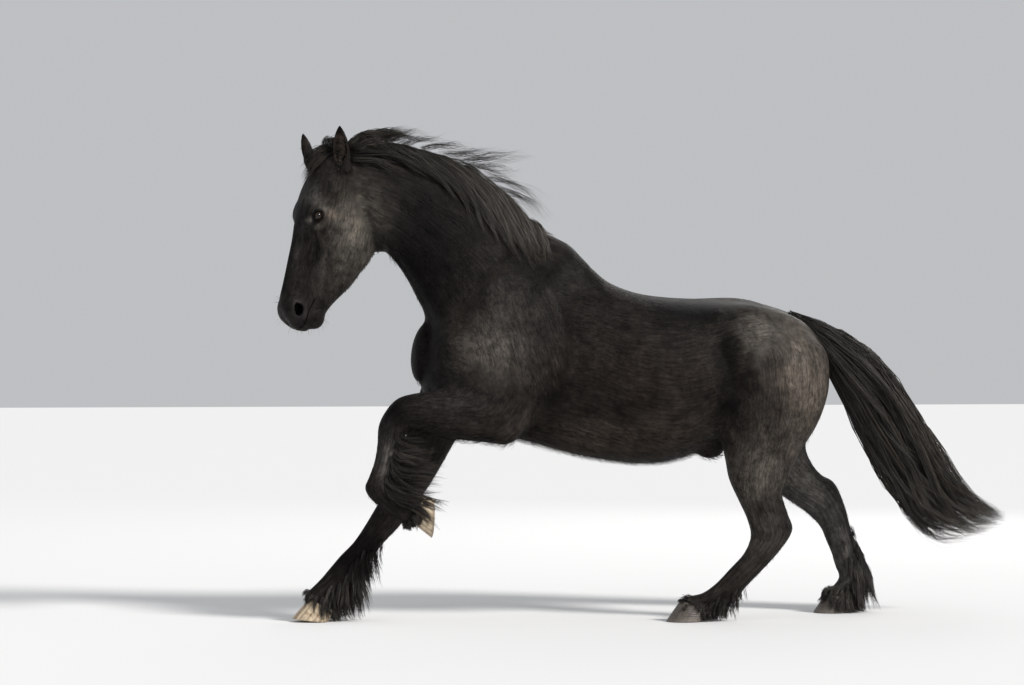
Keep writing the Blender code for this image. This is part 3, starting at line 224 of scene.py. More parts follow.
HIND_L = [
    (0.42, 1.12, 0.77, 1.11, -0.12, 0.095, 0.5, 2, 2),  # hip
    (0.415, 0.995, 0.86, 1.04, -0.15, 0.13, 0.5, 2.1, 2.1),  # upper thigh
    (0.415, 0.87, 0.875, 0.925, -0.165, 0.135, 0.5, 2.1, 2.1),  # thigh
    (0.425, 0.775, 0.855, 0.83, -0.175, 0.122, 0.5, 2.1, 2.1),  # stifle, top
    (0.44, 0.695, 0.815, 0.74, -0.18, 0.107, 0.5, 2.1, 2.1),  # stifle
    (0.455, 0.62, 0.755, 0.65, -0.185, 0.09, 0.5, 2.1, 2.1),  # gaskin, top
    (0.47, 0.545, 0.715, 0.565, -0.185, 0.074, 0.5, 2.1, 2.1),  # gaskin
    (0.51, 0.46, 0.685, 0.495, -0.18, 0.059, 0.5, 2.1, 2.1),  # lower gaskin
    (0.545, 0.39, 0.71, 0.415, -0.17, 0.05, 0.5, 2.3, 2),  # above the hock
    (0.56, 0.325, 0.73, 0.345, -0.165, 0.048, 0.5, 2.4, 2),  # point of the hock
    (0.535, 0.26, 0.675, 0.26, -0.16, 0.043, 0.5, 2.2, 2),  # below the hock
    (0.48, 0.2, 0.615, 0.195, -0.155, 0.037, 0.5, 2.1, 2.1),  # cannon, top
    (0.425, 0.145, 0.545, 0.125, -0.155, 0.035, 0.5, 2.1, 2.1),  # cannon
    (0.375, 0.11, 0.505, 0.07, -0.15, 0.042, 0.5, 2.1, 2.1),  # fetlock
    (0.33, 0.1, 0.42, 0.035, -0.145, 0.04, 0.5, 2.1, 2.1),  # pastern
    (0.295, 0.09, 0.375, 0.025, -0.145, 0.046, 0.5, 2.1, 2.1),  # coronet
]
HIND_R = [
    (0.48, 1.12, 0.835, 1.11, 0.12, 0.095, 0.5, 2, 2),  # hip
    (0.47, 0.995, 0.945, 1.04, 0.15, 0.13, 0.5, 2.1, 2.1),  # upper thigh
    (0.475, 0.865, 0.965, 0.92, 0.165, 0.135, 0.5, 2.1, 2.1),  # thigh
    (0.51, 0.75, 0.94, 0.835, 0.175, 0.122, 0.5, 2.1, 2.1),  # stifle, top
    (0.565, 0.66, 0.9, 0.745, 0.18, 0.105, 0.5, 2.1, 2.1),  # stifle
    (0.645, 0.57, 0.875, 0.665, 0.175, 0.088, 0.5, 2.1, 2.1),  # gaskin, top
    (0.725, 0.495, 0.895, 0.6, 0.17, 0.073, 0.5, 2.1, 2.1),  # gaskin
    (0.805, 0.44, 0.935, 0.55, 0.165, 0.062, 0.5, 2.1, 2.1),  # lower gaskin
    (0.87, 0.395, 0.99, 0.515, 0.16, 0.052, 0.5, 2.3, 2),  # above the hock
    (0.925, 0.34, 1.03, 0.425, 0.155, 0.048, 0.5, 2.4, 2),  # point of the hock
    (0.95, 0.285, 1.055, 0.335, 0.155, 0.043, 0.5, 2.2, 2),  # below the hock
    (0.97, 0.235, 1.075, 0.275, 0.15, 0.038, 0.5, 2.1, 2.1),  # cannon, top
    (0.985, 0.185, 1.095, 0.215, 0.15, 0.038, 0.5, 2.1, 2.1),  # cannon
    (1, 0.14, 1.12, 0.155, 0.145, 0.043, 0.5, 2.1, 2.1),  # fetlock
    (0.975, 0.105, 1.08, 0.085, 0.145, 0.039, 0.5, 2.1, 2.1),  # pastern
    (0.94, 0.085, 1.045, 0.04, 0.14, 0.046, 0.5, 2.1, 2.1),  # coronet
]
FORE_L = [
    (-0.49, 1.1, -0.22, 0.98, -0.145, 0.095, 0.5, 2, 2),  # shoulder
    (-0.53, 1.005, -0.275, 0.815, -0.165, 0.105, 0.5, 2, 2),  # arm
    (-0.56, 0.93, -0.365, 0.69, -0.17, 0.092, 0.5, 2, 2),  # elbow
    (-0.615, 0.9, -0.47, 0.69, -0.17, 0.078, 0.5, 2.1, 2.1),  # forearm, top
    (-0.68, 0.89, -0.57, 0.7, -0.17, 0.066, 0.5, 2.1, 2.1),  # forearm
    (-0.75, 0.88, -0.67, 0.72, -0.165, 0.056, 0.5, 2.2, 2.1),  # lower forearm
    (-0.81, 0.86, -0.735, 0.73, -0.16, 0.052, 0.5, 2.5, 2.2),  # knee, top
    (-0.855, 0.81, -0.755, 0.74, -0.155, 0.05, 0.5, 2.5, 2.2),  # knee
    (-0.88, 0.755, -0.775, 0.71, -0.15, 0.041, 0.5, 2.3, 2.1),  # below the knee
    (-0.885, 0.685, -0.79, 0.665, -0.145, 0.034, 0.5, 2.1, 2.1),  # cannon, top
    (-0.895, 0.625, -0.8, 0.605, -0.145, 0.031, 0.5, 2.1, 2.1),  # cannon
    (-0.915, 0.565, -0.815, 0.555, -0.14, 0.033, 0.5, 2.1, 2.1),  # lower cannon
    (-0.93, 0.52, -0.815, 0.525, -0.14, 0.039, 0.5, 2.2, 2.1),  # fetlock
    (-0.905, 0.475, -0.805, 0.515, -0.135, 0.037, 0.5, 2.1, 2.1),  # below the fetlock
    (-0.845, 0.425, -0.78, 0.49, -0.135, 0.034, 0.5, 2.1, 2.1),  # pastern
    (-0.795, 0.39, -0.72, 0.475, -0.135, 0.046, 0.5, 2.1, 2.1),  # coronet, top
    (-0.77, 0.375, -0.7, 0.465, -0.135, 0.046, 0.5, 2.1, 2.1),  # coronet
]
FORE_R = [
    (-0.48, 1.1, -0.185, 0.98, 0.145, 0.095, 0.5, 2, 2),  # shoulder
    (-0.595, 1.035, -0.31, 0.885, 0.16, 0.105, 0.5, 2, 2),  # arm
    (-0.66, 0.925, -0.43, 0.79, 0.16, 0.092, 0.5, 2, 2),  # elbow
    (-0.7, 0.815, -0.52, 0.705, 0.155, 0.074, 0.5, 2.1, 2.1),  # forearm, top
    (-0.735, 0.71, -0.585, 0.6, 0.145, 0.062, 0.5, 2.1, 2.1),  # forearm
    (-0.77, 0.61, -0.645, 0.505, 0.135, 0.054, 0.5, 2.2, 2.1),  # lower forearm
    (-0.805, 0.53, -0.7, 0.435, 0.13, 0.052, 0.5, 2.5, 2.2),  # knee, top
    (-0.84, 0.46, -0.74, 0.38, 0.125, 0.05, 0.5, 2.5, 2.2),  # knee
    (-0.87, 0.41, -0.775, 0.34, 0.12, 0.041, 0.5, 2.3, 2.1),  # below the knee
    (-0.905, 0.355, -0.82, 0.295, 0.115, 0.034, 0.5, 2.1, 2.1),  # cannon, top
    (-0.945, 0.3, -0.86, 0.245, 0.11, 0.031, 0.5, 2.1, 2.1),  # cannon
    (-0.99, 0.255, -0.9, 0.195, 0.11, 0.033, 0.5, 2.1, 2.1),  # lower cannon
    (-1.03, 0.21, -0.925, 0.14, 0.105, 0.039, 0.5, 2.2, 2.1),  # fetlock
    (-1.065, 0.17, -0.98, 0.105, 0.1, 0.036, 0.5, 2.1, 2.1),  # below the fetlock
    (-1.105, 0.13, -1.015, 0.07, 0.1, 0.044, 0.5, 2.1, 2.1),  # pastern
    (-1.125, 0.115, -1.03, 0.05, 0.1, 0.046, 0.5, 2.1, 2.1),  # coronet
]


# ---- head: its own frame, turned towards the near side and held nearly upright
POLL = np.array([-1.033, -.06, 1.798])
TURN, NOD = math.radians(20), math.radians(13)
_n = np.array([-math.cos(TURN), -math.sin(TURN), 0])
DOWN = _n*math.sin(NOD)+np.array([0, 0, -math.cos(NOD)])       # poll to muzzle
FRONT = _n*math.cos(NOD)+np.array([0, 0, math.sin(NOD)])       # square to the forehead
ASIDE = np.array([-math.sin(TURN), math.cos(TURN), 0])         # towards the far side
HEAD_AXES = np.array([FRONT, ASIDE, -DOWN])


def to_head(P):
    return (P-POLL)@HEAD_AXES.T


def from_head(q):
    return POLL+np.asarray(q, float)@HEAD_AXES

# ribs in the head's frame: forehead side first, then jaw side; u is minus the way down the head
HEAD = [
    (-.005, .00, -.10, -.07, 0, .055, .55, 2.0, 2.0),     # poll
    (.032, -.03, -.125, -.12, 0, .068, .55, 2.3, 2.1),    # forelock
    (.062, -.08, -.148, -.17, 0, .080, .56, 2.5, 2.2),    # temples
    (.084, -.14, -.165, -.22, 0, .086, .57, 2.7, 2.3),
    (.096, -.20, -.178, -.27, 0, .087, .57, 2.7, 2.4),    # eyes
    (.100, -.26, -.206, -.325, 0, .083, .56, 2.6, 2.5),   # cheek
    (.098, -.32, -.222, -.375, 0, .076, .54, 2.3, 2.5),
    (.097, -.38, -.207, -.435, 0, .068, .53, 2.0, 2.4),    # end of the cheek
    (.098, -.44, -.180, -.485, 0, .061, .52, 1.9, 2.4),
    (.098, -.50, -.150, -.53, 0, .055, .50, 1.9, 2.3),    # chin groove
    (.098, -.55, -.123, -.57, 0, .051, .49, 2.0, 2.1),
    (.097, -.595, -.101, -.61, 0, .052, .49, 2.2, 2.2),   # nostrils
    (.088, -.635, -.088, -.645, 0, .052, .50, 2.3, 2.2),
    (.068, -.664, -.070, -.67, 0, .044, .50, 2.2, 2.1),   # lips
    (.034, -.682, -.044, -.688, 0, .028, .50, 2.0, 2.0),
]
EYE_RADIUS = .0205
EYE = (.050, .0765, -.272)        # in the head's frame, mirrored for the other side
_head = Sweep(HEAD, cap0=.6, cap1=.6)


def head(P):
    out = np.full(len(P), FAR, np.float32)
    Q = to_head(P)
    m = (np.abs(Q[:, 0]+.04) < .30) & (np.abs(Q[:, 1]) < .23) & (Q[:, 2] < .13) & (Q[:, 2] > -.78)
    Q = Q[m]
    d = _head(Q)
    F = np.column_stack([Q[:, 0], np.abs(Q[:, 1]), Q[:, 2]])
    d = smin(d, ellipsoid(F, (-.108, .049, -.312), (.118, .040, .140)), .035)         # cheek muscle
    d = smin(d, ellipsoid(F, (-.245, .028, -.262), (.062, .046, .076)), .040)         # throat
    d = smin(d, ellipsoid(F, (.045, .060, -.262), (.044, .026, .050)), .030)          # brow
    d = smin(d, bar(F, (.050, .070, -.225), (-.020, .072, -.115), .016, .014), .030)  # cheekbone arch
    d = smin(d, bar(F, (.020, .072, -.310), (-.014, .056, -.45), .010, .005), .030)   # facial crest
    d = smax(d, -ellipsoid(F, (.062, .094, -.180), (.026, .022, .030)), .030)         # hollow above the eye
    d = smax(d, -ellipsoid(F, (.040, .100, -.41), (.034, .034, .085)), .045)          # side of the nose
    d = smin(d, ellipsoid(F, (.048, .034, -.625), (.034, .028, .046)), .026)          # nostril
    d = smin(d, ellipsoid(F, (.018, .020, -.657), (.042, .036, .034)), .024)          # upper lip
    d = smin(d, ellipsoid(F, (-.062, .008, -.645), (.032, .032, .036)), .022)         # chin
    d = smax(d, -ellipsoid(F, (-.238, .0, -.425), (.050, .022, .10)), .022)           # between the jaws
    d = smax(d, -ellipsoid(F, (-.022, .062, -.578), (.010, .012, .045)), .018)        # corner of the mouth
    out[m] = d
    return out


# ---- ears: base, tip, and the way that the cup opens
EARS = {"left": ((-1.005, -.128, 1.715), (-1.030, -.139, 1.886), (-.55, -.83, .05)),
        "right": ((-1.105, .010, 1.724), (-1.159, .013, 1.860), (-.93, .36, .0))}
EAR_HALF = .0335
EAR_WIDTHS = ((0, .60), (.12, .78), (.3, .98), (.5, 1.0), (.7, .84), (.85, .55), (.95, .26), (1, .06))


def ear(P, side, thick=.0065):
    base, tip, opening = [np.array(x, float) for x in EARS[side]]
    ax = tip-base
    L = np.linalg.norm(ax)
    ax = ax/L
    op = opening-ax*(opening@ax)
    op /= np.linalg.norm(op)
    sd = np.cross(ax, op)
    out = np.full(len(P), FAR, np.float32)
    m = np.linalg.norm(P-(base+tip)/2, axis=1) < L*.5+.09
    r = P[m]-base
    t = r@ax/L
    u, v = r@op, r@sd
    tt = np.clip(t, 0, 1)
    w = EAR_HALF*np.interp(tt, *zip(*EAR_WIDTHS))
    u = u+.030*(tt-.30)**2

    def tube(a, b, uu, vv):
        q = np.sqrt((uu/a)**2+(vv/b)**2)
        gr = np.sqrt((uu/a)**2/a**2+(vv/b)**2/b**2)/np.maximum(q, 1e-6)
        return (q-1)/np.maximum(gr, .2/np.maximum(a, b))
    d = tube(w*.78, w, u, v)
    wi = np.maximum(w-thick, .001)
    inner = tube(wi, wi, u-.010, v)
    inner = np.maximum(inner, (.17-t)*L)
    d = smax(d, -inner, .004)
    e = np.maximum(-t, t-1)*L
    out[m] = np.where(e > 0, np.sqrt(np.maximum(d, 0)**2+e*e), d)
    return out


# ---- hooves: middle of the sole, toe direction, way up to the pastern, cut level at the floor
HOOVES = {
    "fore_left": ((-.668, -.135, .402), (-.05, -.02, -1.0), (-1.0, .02, .05)),
    "fore_right": ((-1.107, .100, .004), (-.995, .0, .105), (.105, .0, .995)),
    "hind_left": ((.305, -.147, -.002), (-1.0, -.04, .0), (.0, .0, 1.0)),
    "hind_right": ((.968, .143, -.002), (-1.0, .05, .0), (.0, .0, 1.0)),
}
HOOF_LONG, HOOF_WIDE, HOOF_TOE, HOOF_HEEL = .074, .066, .088, .042


def hoof_frame(name):
    c, f, u = [np.array(x, float) for x in HOOVES[name]]
    f /= np.linalg.norm(f)
    u = u-f*(u@f)
    u /= np.linalg.norm(u)
    return c, f, np.cross(u, f), u


def hoof(P, name, grow=0.0):
    """a cut cone, longer at the toe, with the coronet sloping down to the heels"""
    c, f, s, up = hoof_frame(name)
    out = np.full(len(P), FAR, np.float32)
    m = np.linalg.norm(P-c-up*.05, axis=1) < .24
    r = P[m]-c
    x, y, z = r@f, r@s, r@up
    t = np.clip(z/HOOF_TOE, -.1, 1.2)
    hind = .94 if name.startswith("hind") else 1.0
    a = (HOOF_LONG-.013*t)
    b = (HOOF_WIDE-.013*t)*hind
    xc = x+.050*t                              # leans back
    back = np.where(xc < 0, .90, 1.0)          # heels a little square
    e = np.where(xc < 0, 2.6, 2.1)
    ax_, ay_ = np.maximum(np.abs(xc/(a*back)), 1e-5), np.maximum(np.abs(y/b), 1e-5)
    q = (ax_**e+ay_**e)**(1/e)
    gr = np.sqrt(((ax_/q)**(e-1)/(a*back))**2+((ay_/q)**(e-1)/b)**2)
    d = (q-1)/gr*.86
    top = HOOF_HEEL+(HOOF_TOE-HOOF_HEEL)*np.clip((xc+HOOF_LONG)/(2*HOOF_LONG), 0, 1)
    d = smax(d, (z-top)*.9, .006)
    d = np.maximum(d, -z)
    if name != "fore_left":
        d = np.maximum(d, -(P[m][:, 2]))       # stands on the floor
    out[m] = d-grow
    return out


# ---- trunk, neck, legs
_trunk, _neck = Sweep(TRUNK, cap0=.6, cap1=.6), Sweep(NECK, cap0=.9, cap1=.6)
LEGS = {"fore_left": FORE_L, "fore_right": FORE_R, "hind_left": HIND_L, "hind_right": HIND_R}
_legs = {k: Sweep(v, cap0=.8, cap1=.3) for k, v in LEGS.items()}
ROLL = .15          # the croup is carried lower on the near side


def trunk(P):
    Q = P.copy()
    Q[:, 2] = P[:, 2]-ROLL*ease(P[:, 0], .0, .45)*np.clip(P[:, 1], -.3, .3)*ease(P[:, 2], .75, 1.05)
    d = _trunk(Q)
    F = np.column_stack([Q[:, 0], np.abs(Q[:, 1]), Q[:, 2]])
    d = smin(d, ellipsoid(F, (.57, .115, 1.065), (.25, .125, .150)), .06)   # croup muscles
    d = smin(d, ellipsoid(F, (.755, .085, .985), (.115, .10, .17)), .06)    # buttocks
    d = smin(d, ellipsoid(F, (.485, .235, 1.105), (.055, .042, .050)), .06)  # hip bone
    d = smin(d, ellipsoid(F, (-.590, .092, 1.00), (.080, .085, .125)), .045)  # breast
    return d


def shoulder(P, s):
    """shoulder blade and upper arm on side s"""
    d = bar(P, (-.19, s*.125, 1.28), (-.55, s*.175, 1.05), .050, .085, .8)
    d = smin(d, ellipsoid(P, (-.40, s*.180, .96), (.17, .075, .13)), .07)
    return d


def limbs(P):
    d = np.full(len(P), FAR, np.float32)
    for k, f in _legs.items():
        d = np.minimum(d, f(P))
    return d


def sheath(P):
    return ellipsoid(P, (.440, .0, .668), (.064, .046, .052), pad=.08)


def flesh(P):
    """the body's coat surface, without ears, hooves and long hair"""
    d = trunk(P)
    d = smin(d, _neck(P), .035+.085*ease(P[:, 0], -.66, -.42))
    for s in (-1, 1):
        d = smin(d, shoulder(P, s), .06)
    for k, f in _legs.items():
        d = smin(d, f(P), .055)
    d = smin(d, sheath(P), .035)
    d = smin(d, head(P), .035)
    return d


# ---- the space that long hair fills
FEATHERS = {
    "fore_left": [((-.835, -.146, .62), (-.835, -.140, .465), .050, .062), ((-.735, -.140, .60), (-.745, -.137, .465), .026, .045),
                  ((-.86, -.138, .50), (-.76, -.137, .40), .055, .045)],
    "fore_right": [((-.905, .112, .285), (-1.075, .102, .150), .052, .066), ((-.862, .110, .245), (-.925, .104, .115), .034, .046)],
    "hind_left": [((.56, -.156, .175), (.375, -.148, .078), .040, .055)],
    "hind_right": [((1.072, .148, .215), (1.064, .144, .082), .047, .060)],
}
TAIL = [
    (0.83, 1.15, 0.85, 1.06, 0, 0.045, .5, 2, 2),
    (0.91, 1.14, 0.925, 0.98, 0, 0.062, .5, 2, 2),
    (1.005, 1.11, 0.985, 0.86, 0, 0.082, .5, 2, 2),
    (1.1, 1.04, 1.03, 0.74, 0, 0.095, .5, 2, 2),
    (1.18, 0.95, 1.08, 0.65, 0, 0.1, .5, 2, 2),
    (1.25, 0.845, 1.12, 0.56, 0, 0.1, .5, 2, 2),
    (1.31, 0.75, 1.17, 0.485, 0, 0.097, .5, 2, 2),
    (1.365, 0.66, 1.215, 0.42, 0, 0.09, .5, 2, 2),
    (1.42, 0.565, 1.27, 0.355, 0, 0.08, .5, 2, 2),
    (1.49, 0.49, 1.33, 0.31, 0, 0.068, .5, 2, 2),
    (1.555, 0.435, 1.405, 0.285, 0, 0.055, .5, 2, 2),
    (1.62, 0.405, 1.505, 0.28, 0, 0.04, .5, 2, 2),
    (1.655, 0.38, 1.605, 0.315, 0, 0.022, .5, 2, 2),
]
_tail = Sweep(TAIL, cap0=.6, cap1=.8)
DOCK = ((.74, 0, 1.135), (.90, 0, 1.075), .050, .036)
MANE_RISE = ((0, .024), (8, .030), (16, .022), (30, .016), (42, .014), (48, .012))     # above the crest, by rib
MANE_NEAR = ((0, .085), (8, .12), (20, .135), (30, .11), (42, .07), (48, .05))         # how far down the near side
MANE_FAR = ((0, .16), (8, .25), (20, .33), (30, .36), (42, .30), (48, .12))            # and down the far side


def feathers(P, name):
    d = np.full(len(P), FAR, np.float32)
    for a, b, ra, rb in FEATHERS[name]:
        d = smin(d, bar(P, a, b, ra, rb, .86), .025)
    return d


def mane(P):
    """hair over the crest: short and loose on the near side, long on the far side"""
    out = np.full(len(P), FAR, np.float32)
    m = np.all((P > _neck.lo) & (P < _neck.hi), axis=1)
    d, f, u, v = _neck.place(P[m])
    rise = np.interp(f, *zip(*MANE_RISE))
    down = np.interp(f, np.arange(len(_neck.tab)), _neck.tab[:, 6])-u
    reach = np.where(v < 0, np.interp(f, *zip(*MANE_NEAR)), np.interp(f, *zip(*MANE_FAR)))
    thick = np.where(v < 0, .018, .028)
    t = ease(np.abs(v), .02, .06)
    d = d-(rise*(1-t)+thick*t)
    d = smax(d, (down-reach)*.8, .012)
    out[m] = smax(d, np.maximum(.5-f, f-43)*.02, .01)
    return out


def forelock(P):
    Q = to_head(P)
    d = ellipsoid(Q, (.004, .0, .018), (.046, .056, .036))
    return smin(d, bar(Q, (.030, .010, -.01), (.080, .030, -.105), .034, .016, .7, (0, 1, 0)), .03)


# ---- meshing: cells of three or more sizes, one vertex each
def key(p):
    p = np.asarray(p, np.int64)
    return (p[:, 0] << 42) | (p[:, 1] << 21) | p[:, 2]


CORN = np.array([(i, j, k) for i in (0, 1) for j in (0, 1) for k in (0, 1)])


def gradient(fn, P, h=.0015):
    g = np.empty((len(P), 3))
    for a in range(3):
        e = np.zeros(3)
        e[a] = h
        g[:, a] = fn(P+e)-fn(P-e)
    return g/(2*h)


def to_surface(fn, P, most, h=.0015):
    d = fn(P)
    g = gradient(fn, P, h)
    s = -(d/np.maximum((g**2).sum(1), .25))[:, None]*g
    n = np.linalg.norm(s, axis=1)
    return P+s*np.minimum(1, most/np.maximum(n, 1e-9))[:, None]


def surface(fn, lo, hi, fine, top, level_of, project=2, slack=1.25):
    """closed mesh of fn = 0, with cells of fine*2**level where level_of(points) gives each block's level"""
    lo = np.asarray(lo, float)
    B = 1 << top
    nb = np.ceil((np.asarray(hi)-lo)/(fine*B)).astype(int)
    cells = np.stack(np.meshgrid(*[np.arange(k) for k in nb], indexing="ij"), -1).reshape(-1, 3)
    blev = np.clip(level_of(lo+(cells+.5)*fine*B), 0, top).astype(np.int8).reshape(nb)

    def lev_at(p):
        q = np.clip(p//B, 0, nb-1)
        return blev[q[:, 0], q[:, 1], q[:, 2]]
    leaf_pos, leaf_lev = [], []
    cur = cells*B
    for L in range(top, -1, -1):
        s = 1 << L
        if not len(cur):
            break
        d = fn(lo+(cur+s*.5)*fine)
        cur = cur[np.abs(d) < s*fine*slack+.003]
        stop = lev_at(cur) >= L
        leaf_pos.append(cur[stop])
        leaf_lev.append(np.full(stop.sum(), L))
        cur = cur[~stop]
        if L:
            cur = (cur[:, None, :]+CORN[None]*(s >> 1)).reshape(-1, 3)
    pos, lev = np.vstack(leaf_pos), np.concatenate(leaf_lev)
    size = (1 << lev)[:, None]
    cor = pos[:, None, :]+CORN[None]*size[:, None, :]
    uk, first, inv = np.unique(key(cor.reshape(-1, 3)), return_index=True, return_inverse=True)
    uval = fn(lo+cor.reshape(-1, 3)[first]*fine)
    cv = uval[inv].reshape(-1, 8)
    ins = cv < 0
    act = ins.any(1) & ~ins.all(1)
    pos, lev, cor, cv, size = pos[act], lev[act], cor[act], cv[act], size[act]
    acc, cnt = np.zeros((len(pos), 3)), np.zeros(len(pos))
    E = []
    for ax in range(3):
        for i in range(8):
            if CORN[i][ax] == 0:
                j = i+(4, 2, 1)[ax]
                m = (cv[:, i] < 0) != (cv[:, j] < 0)
                t = cv[m, i]/(cv[m, i]-cv[m, j])
                p = cor[m, i].astype(float)
                p[:, ax] += t*size[m, 0]
                acc[m] += p
                cnt[m] += 1
                E.append((np.full(m.sum(), ax), cor[m, i], lev[m], cv[m, i] < 0, p))
    ax, ep, el, ei, ex = [np.concatenate([e[i] for e in E]) for i in range(5)]
    _, k = np.unique(key(ep)*16+ax*4+el, return_index=True)
    ax, ep, el, ei, ex = ax[k], ep[k], el[k], ei[k], ex[k]
    verts = acc/cnt[:, None]
    lk = key(pos)
    row = np.arange(len(ax))
    want = np.zeros((len(ax), 4), np.int64)
    ok = np.ones(len(ax), bool)
    for i, (s1, s2) in enumerate([(-1, -1), (0, -1), (0, 0), (-1, 0)]):
        p = ep.copy()
        p[row, (ax+1) % 3] += s1
        p[row, (ax+2) % 3] += s2
        Lq = lev_at(p)
        ok &= Lq >= el
        want[:, i] = key(np.maximum((p >> Lq[:, None]) << Lq[:, None], 0))
    want, ei, ex, el = want[ok], ei[ok], ex[ok], el[ok]
    # a large cell beside small ones may be crossed only along its side: it gets a vertex there
    flat = want.reshape(-1)
    extra = np.setdiff1d(flat, lk)
    if len(extra):
        at = np.searchsorted(extra, flat)
        at = np.clip(at, 0, len(extra)-1)
        hit = extra[at] == flat
        s = np.zeros((len(extra), 3))
        n = np.zeros(len(extra))
        np.add.at(s, at[hit], np.repeat(ex, 4, axis=0)[hit])
        np.add.at(n, at[hit], 1)
        verts = np.vstack([verts, s/n[:, None]])
        lk = np.concatenate([lk, extra])
        lev = np.concatenate([lev, np.full(len(extra), lev.max())])
    order = np.argsort(lk)
    ring = order[np.searchsorted(lk[order], flat)].reshape(-1, 4)
    ring[~ei] = ring[~ei][:, ::-1]
    same = ring == np.roll(ring, -1, axis=1)
    ns = same.sum(1)
    quads = ring[ns == 0]
    tris = ring[ns == 1][~same[ns == 1]].reshape(-1, 3)
    verts = lo+verts*fine
    for _ in range(project):
        verts = to_surface(fn, verts, (1 << lev)*fine*.35)
    return verts, quads, tris


# ---- the skin: the coat's depth inside the solids, with lids, nostrils, mouth and dock
DEPTH = .004


def eye_axes(w):
    """middle of the eyeball, way along the slit, up to the upper lid, and out of the head; w is -1 near side, 1 far side"""
    c = from_head((EYE[0], w*EYE[1], EYE[2]))
    n = np.array([.27, w*.95, .02])@HEAD_AXES
    a = np.array([-.50, 0, 1.0])@HEAD_AXES
    n /= np.linalg.norm(n)
    a -= n*(a@n)
    a /= np.linalg.norm(a)
    b = np.cross(n, a)*(-1 if w < 0 else 1)
    b *= np.sign(b@FRONT)
    return c, a, b, n

EYE_AT = {"left": eye_axes(-1), "right": eye_axes(1)}
SLIT_HALF, SLIT_UP, SLIT_LOW = .0188, .0140, .0118


def slit(a, b):
    """below zero between the lids, seen along the eye's axis"""
    t = np.clip(1-(a/SLIT_HALF)**2, -1, 1)
    up = SLIT_UP*np.sign(t)*np.abs(t)**.8+.0012*a/SLIT_HALF
    lo = -SLIT_LOW*np.sign(t)*np.abs(t)**.9+.0012*a/SLIT_HALF
    return np.maximum(b-up, lo-b)*.85


def lids(P, d):
    for c, a, b, n in EYE_AT.values():
        m = np.linalg.norm(P-c, axis=1) < .05
        r = P[m]-c
        if not len(r):
            continue
        rad = np.linalg.norm(r, axis=1)
        A, B, C = r@a, r@b, r@n
        body = smax(d[m], -(rad-EYE_RADIUS-.0006), .002)
        shell = np.maximum(rad-EYE_RADIUS-.0042, EYE_RADIUS+.0006-rad)
        shell = np.maximum(shell, -C-.004)
        body = smin(body, shell, .007)
        gap = np.maximum(slit(A, B), -C+.002)
        body = smax(body, -gap, .0016)
        body = np.maximum(body, -(rad-EYE_RADIUS-.0006))
        d[m] = body
    return d


def muzzle(P, d):
    """nostrils and mouth"""
    Q = to_head(P)
    m = (Q[:, 2] < -.53) & (Q[:, 2] > -.74) & (np.abs(Q[:, 0]) < .13) & (np.abs(Q[:, 1]) < .11)
    q = Q[m]
    if not len(q):
        return d
    F = np.column_stack([q[:, 0], np.abs(q[:, 1]), q[:, 2]])
    e = d[m]
    # nostril: a raised rim around a comma-shaped hole that leads in and up
    c = np.array([.038, .052, -.632])
    hole = ellipsoid(F, c, (.0135, .030, .0215), pad=.2)
    up = ellipsoid(F, c+np.array([.013, -.006, .012]), (.0095, .020, .017), pad=.2)
    hole = smin(hole, up, .014)
    rim = np.abs(hole-.006)-.0045
    rim = np.maximum(rim, np.abs(e)-.004)
    e = smin(e, rim, .007)
    e = smax(e, -np.maximum(hole, -(e+.034)), .006)
    # mouth: a slit from the lips' front up to the corner
    line = np.interp(q[:, 2], (-.70, -.684, -.655, -.62, -.578), (.004, .000, -.004, -.010, -.024))
    slit_ = np.maximum(np.abs(q[:, 0]-line)-.0016, np.maximum(q[:, 2]+.576, -(e+.008)))
    e = smax(e, -slit_, .0040)
    d[m] = e
    return d


def skin_ear(P, side):
    """the ear as a curled leaf: its cup narrows to a slit at the base, which flares into the head"""
    base, tip, opening = [np.array(x, float) for x in EARS[side]]
    ax = tip-base
    L = np.linalg.norm(ax)
    ax = ax/L
    op = opening-ax*(opening@ax)
    op /= np.linalg.norm(op)
    sd = np.cross(ax, op)
    out = np.full(len(P), FAR, np.float32)
    m = np.linalg.norm(P-(base+tip)/2, axis=1) < L*.5+.09
    r = P[m]-base
    t = r@ax/L
    u, v = r@op, r@sd
    tt = np.clip(t, 0, 1)
    w = EAR_HALF*np.interp(tt, *zip(*EAR_WIDTHS))*(1+.22*(1-ease(tt, 0, .22)))-.0012
    u = u+.030*(tt-.30)**2

    def tube(a, b, uu, vv):
        q = np.sqrt((uu/a)**2+(vv/b)**2)
        gr = np.sqrt((uu/a)**2/a**2+(vv/b)**2/b**2)/np.maximum(q, 1e-6)
        return (q-1)/np.maximum(gr, .2/np.maximum(a, b))
    w = np.maximum(w, .0012)
    d = tube(w*.80, w, u, v)
    open_ = ease(tt, .10, .42)**.7
    thick = .0042+.0020*(1-tt)
    wi = np.maximum((w-thick)*(.16+.84*open_), .0008)
    inner = tube(wi*.95, wi, u-.010-.007*(1-open_), v)
    inner = np.maximum(inner, (.10-t)*L)
    d = smax(d, -inner, .0035)
    e = np.maximum(-t, t-1)*L
    out[m] = np.where(e > 0, np.sqrt(np.maximum(d, 0)**2+e*e), d)
    return out


DOCK = ((.70, 0, 1.130), (.93, 0, 1.055), .050, .030)


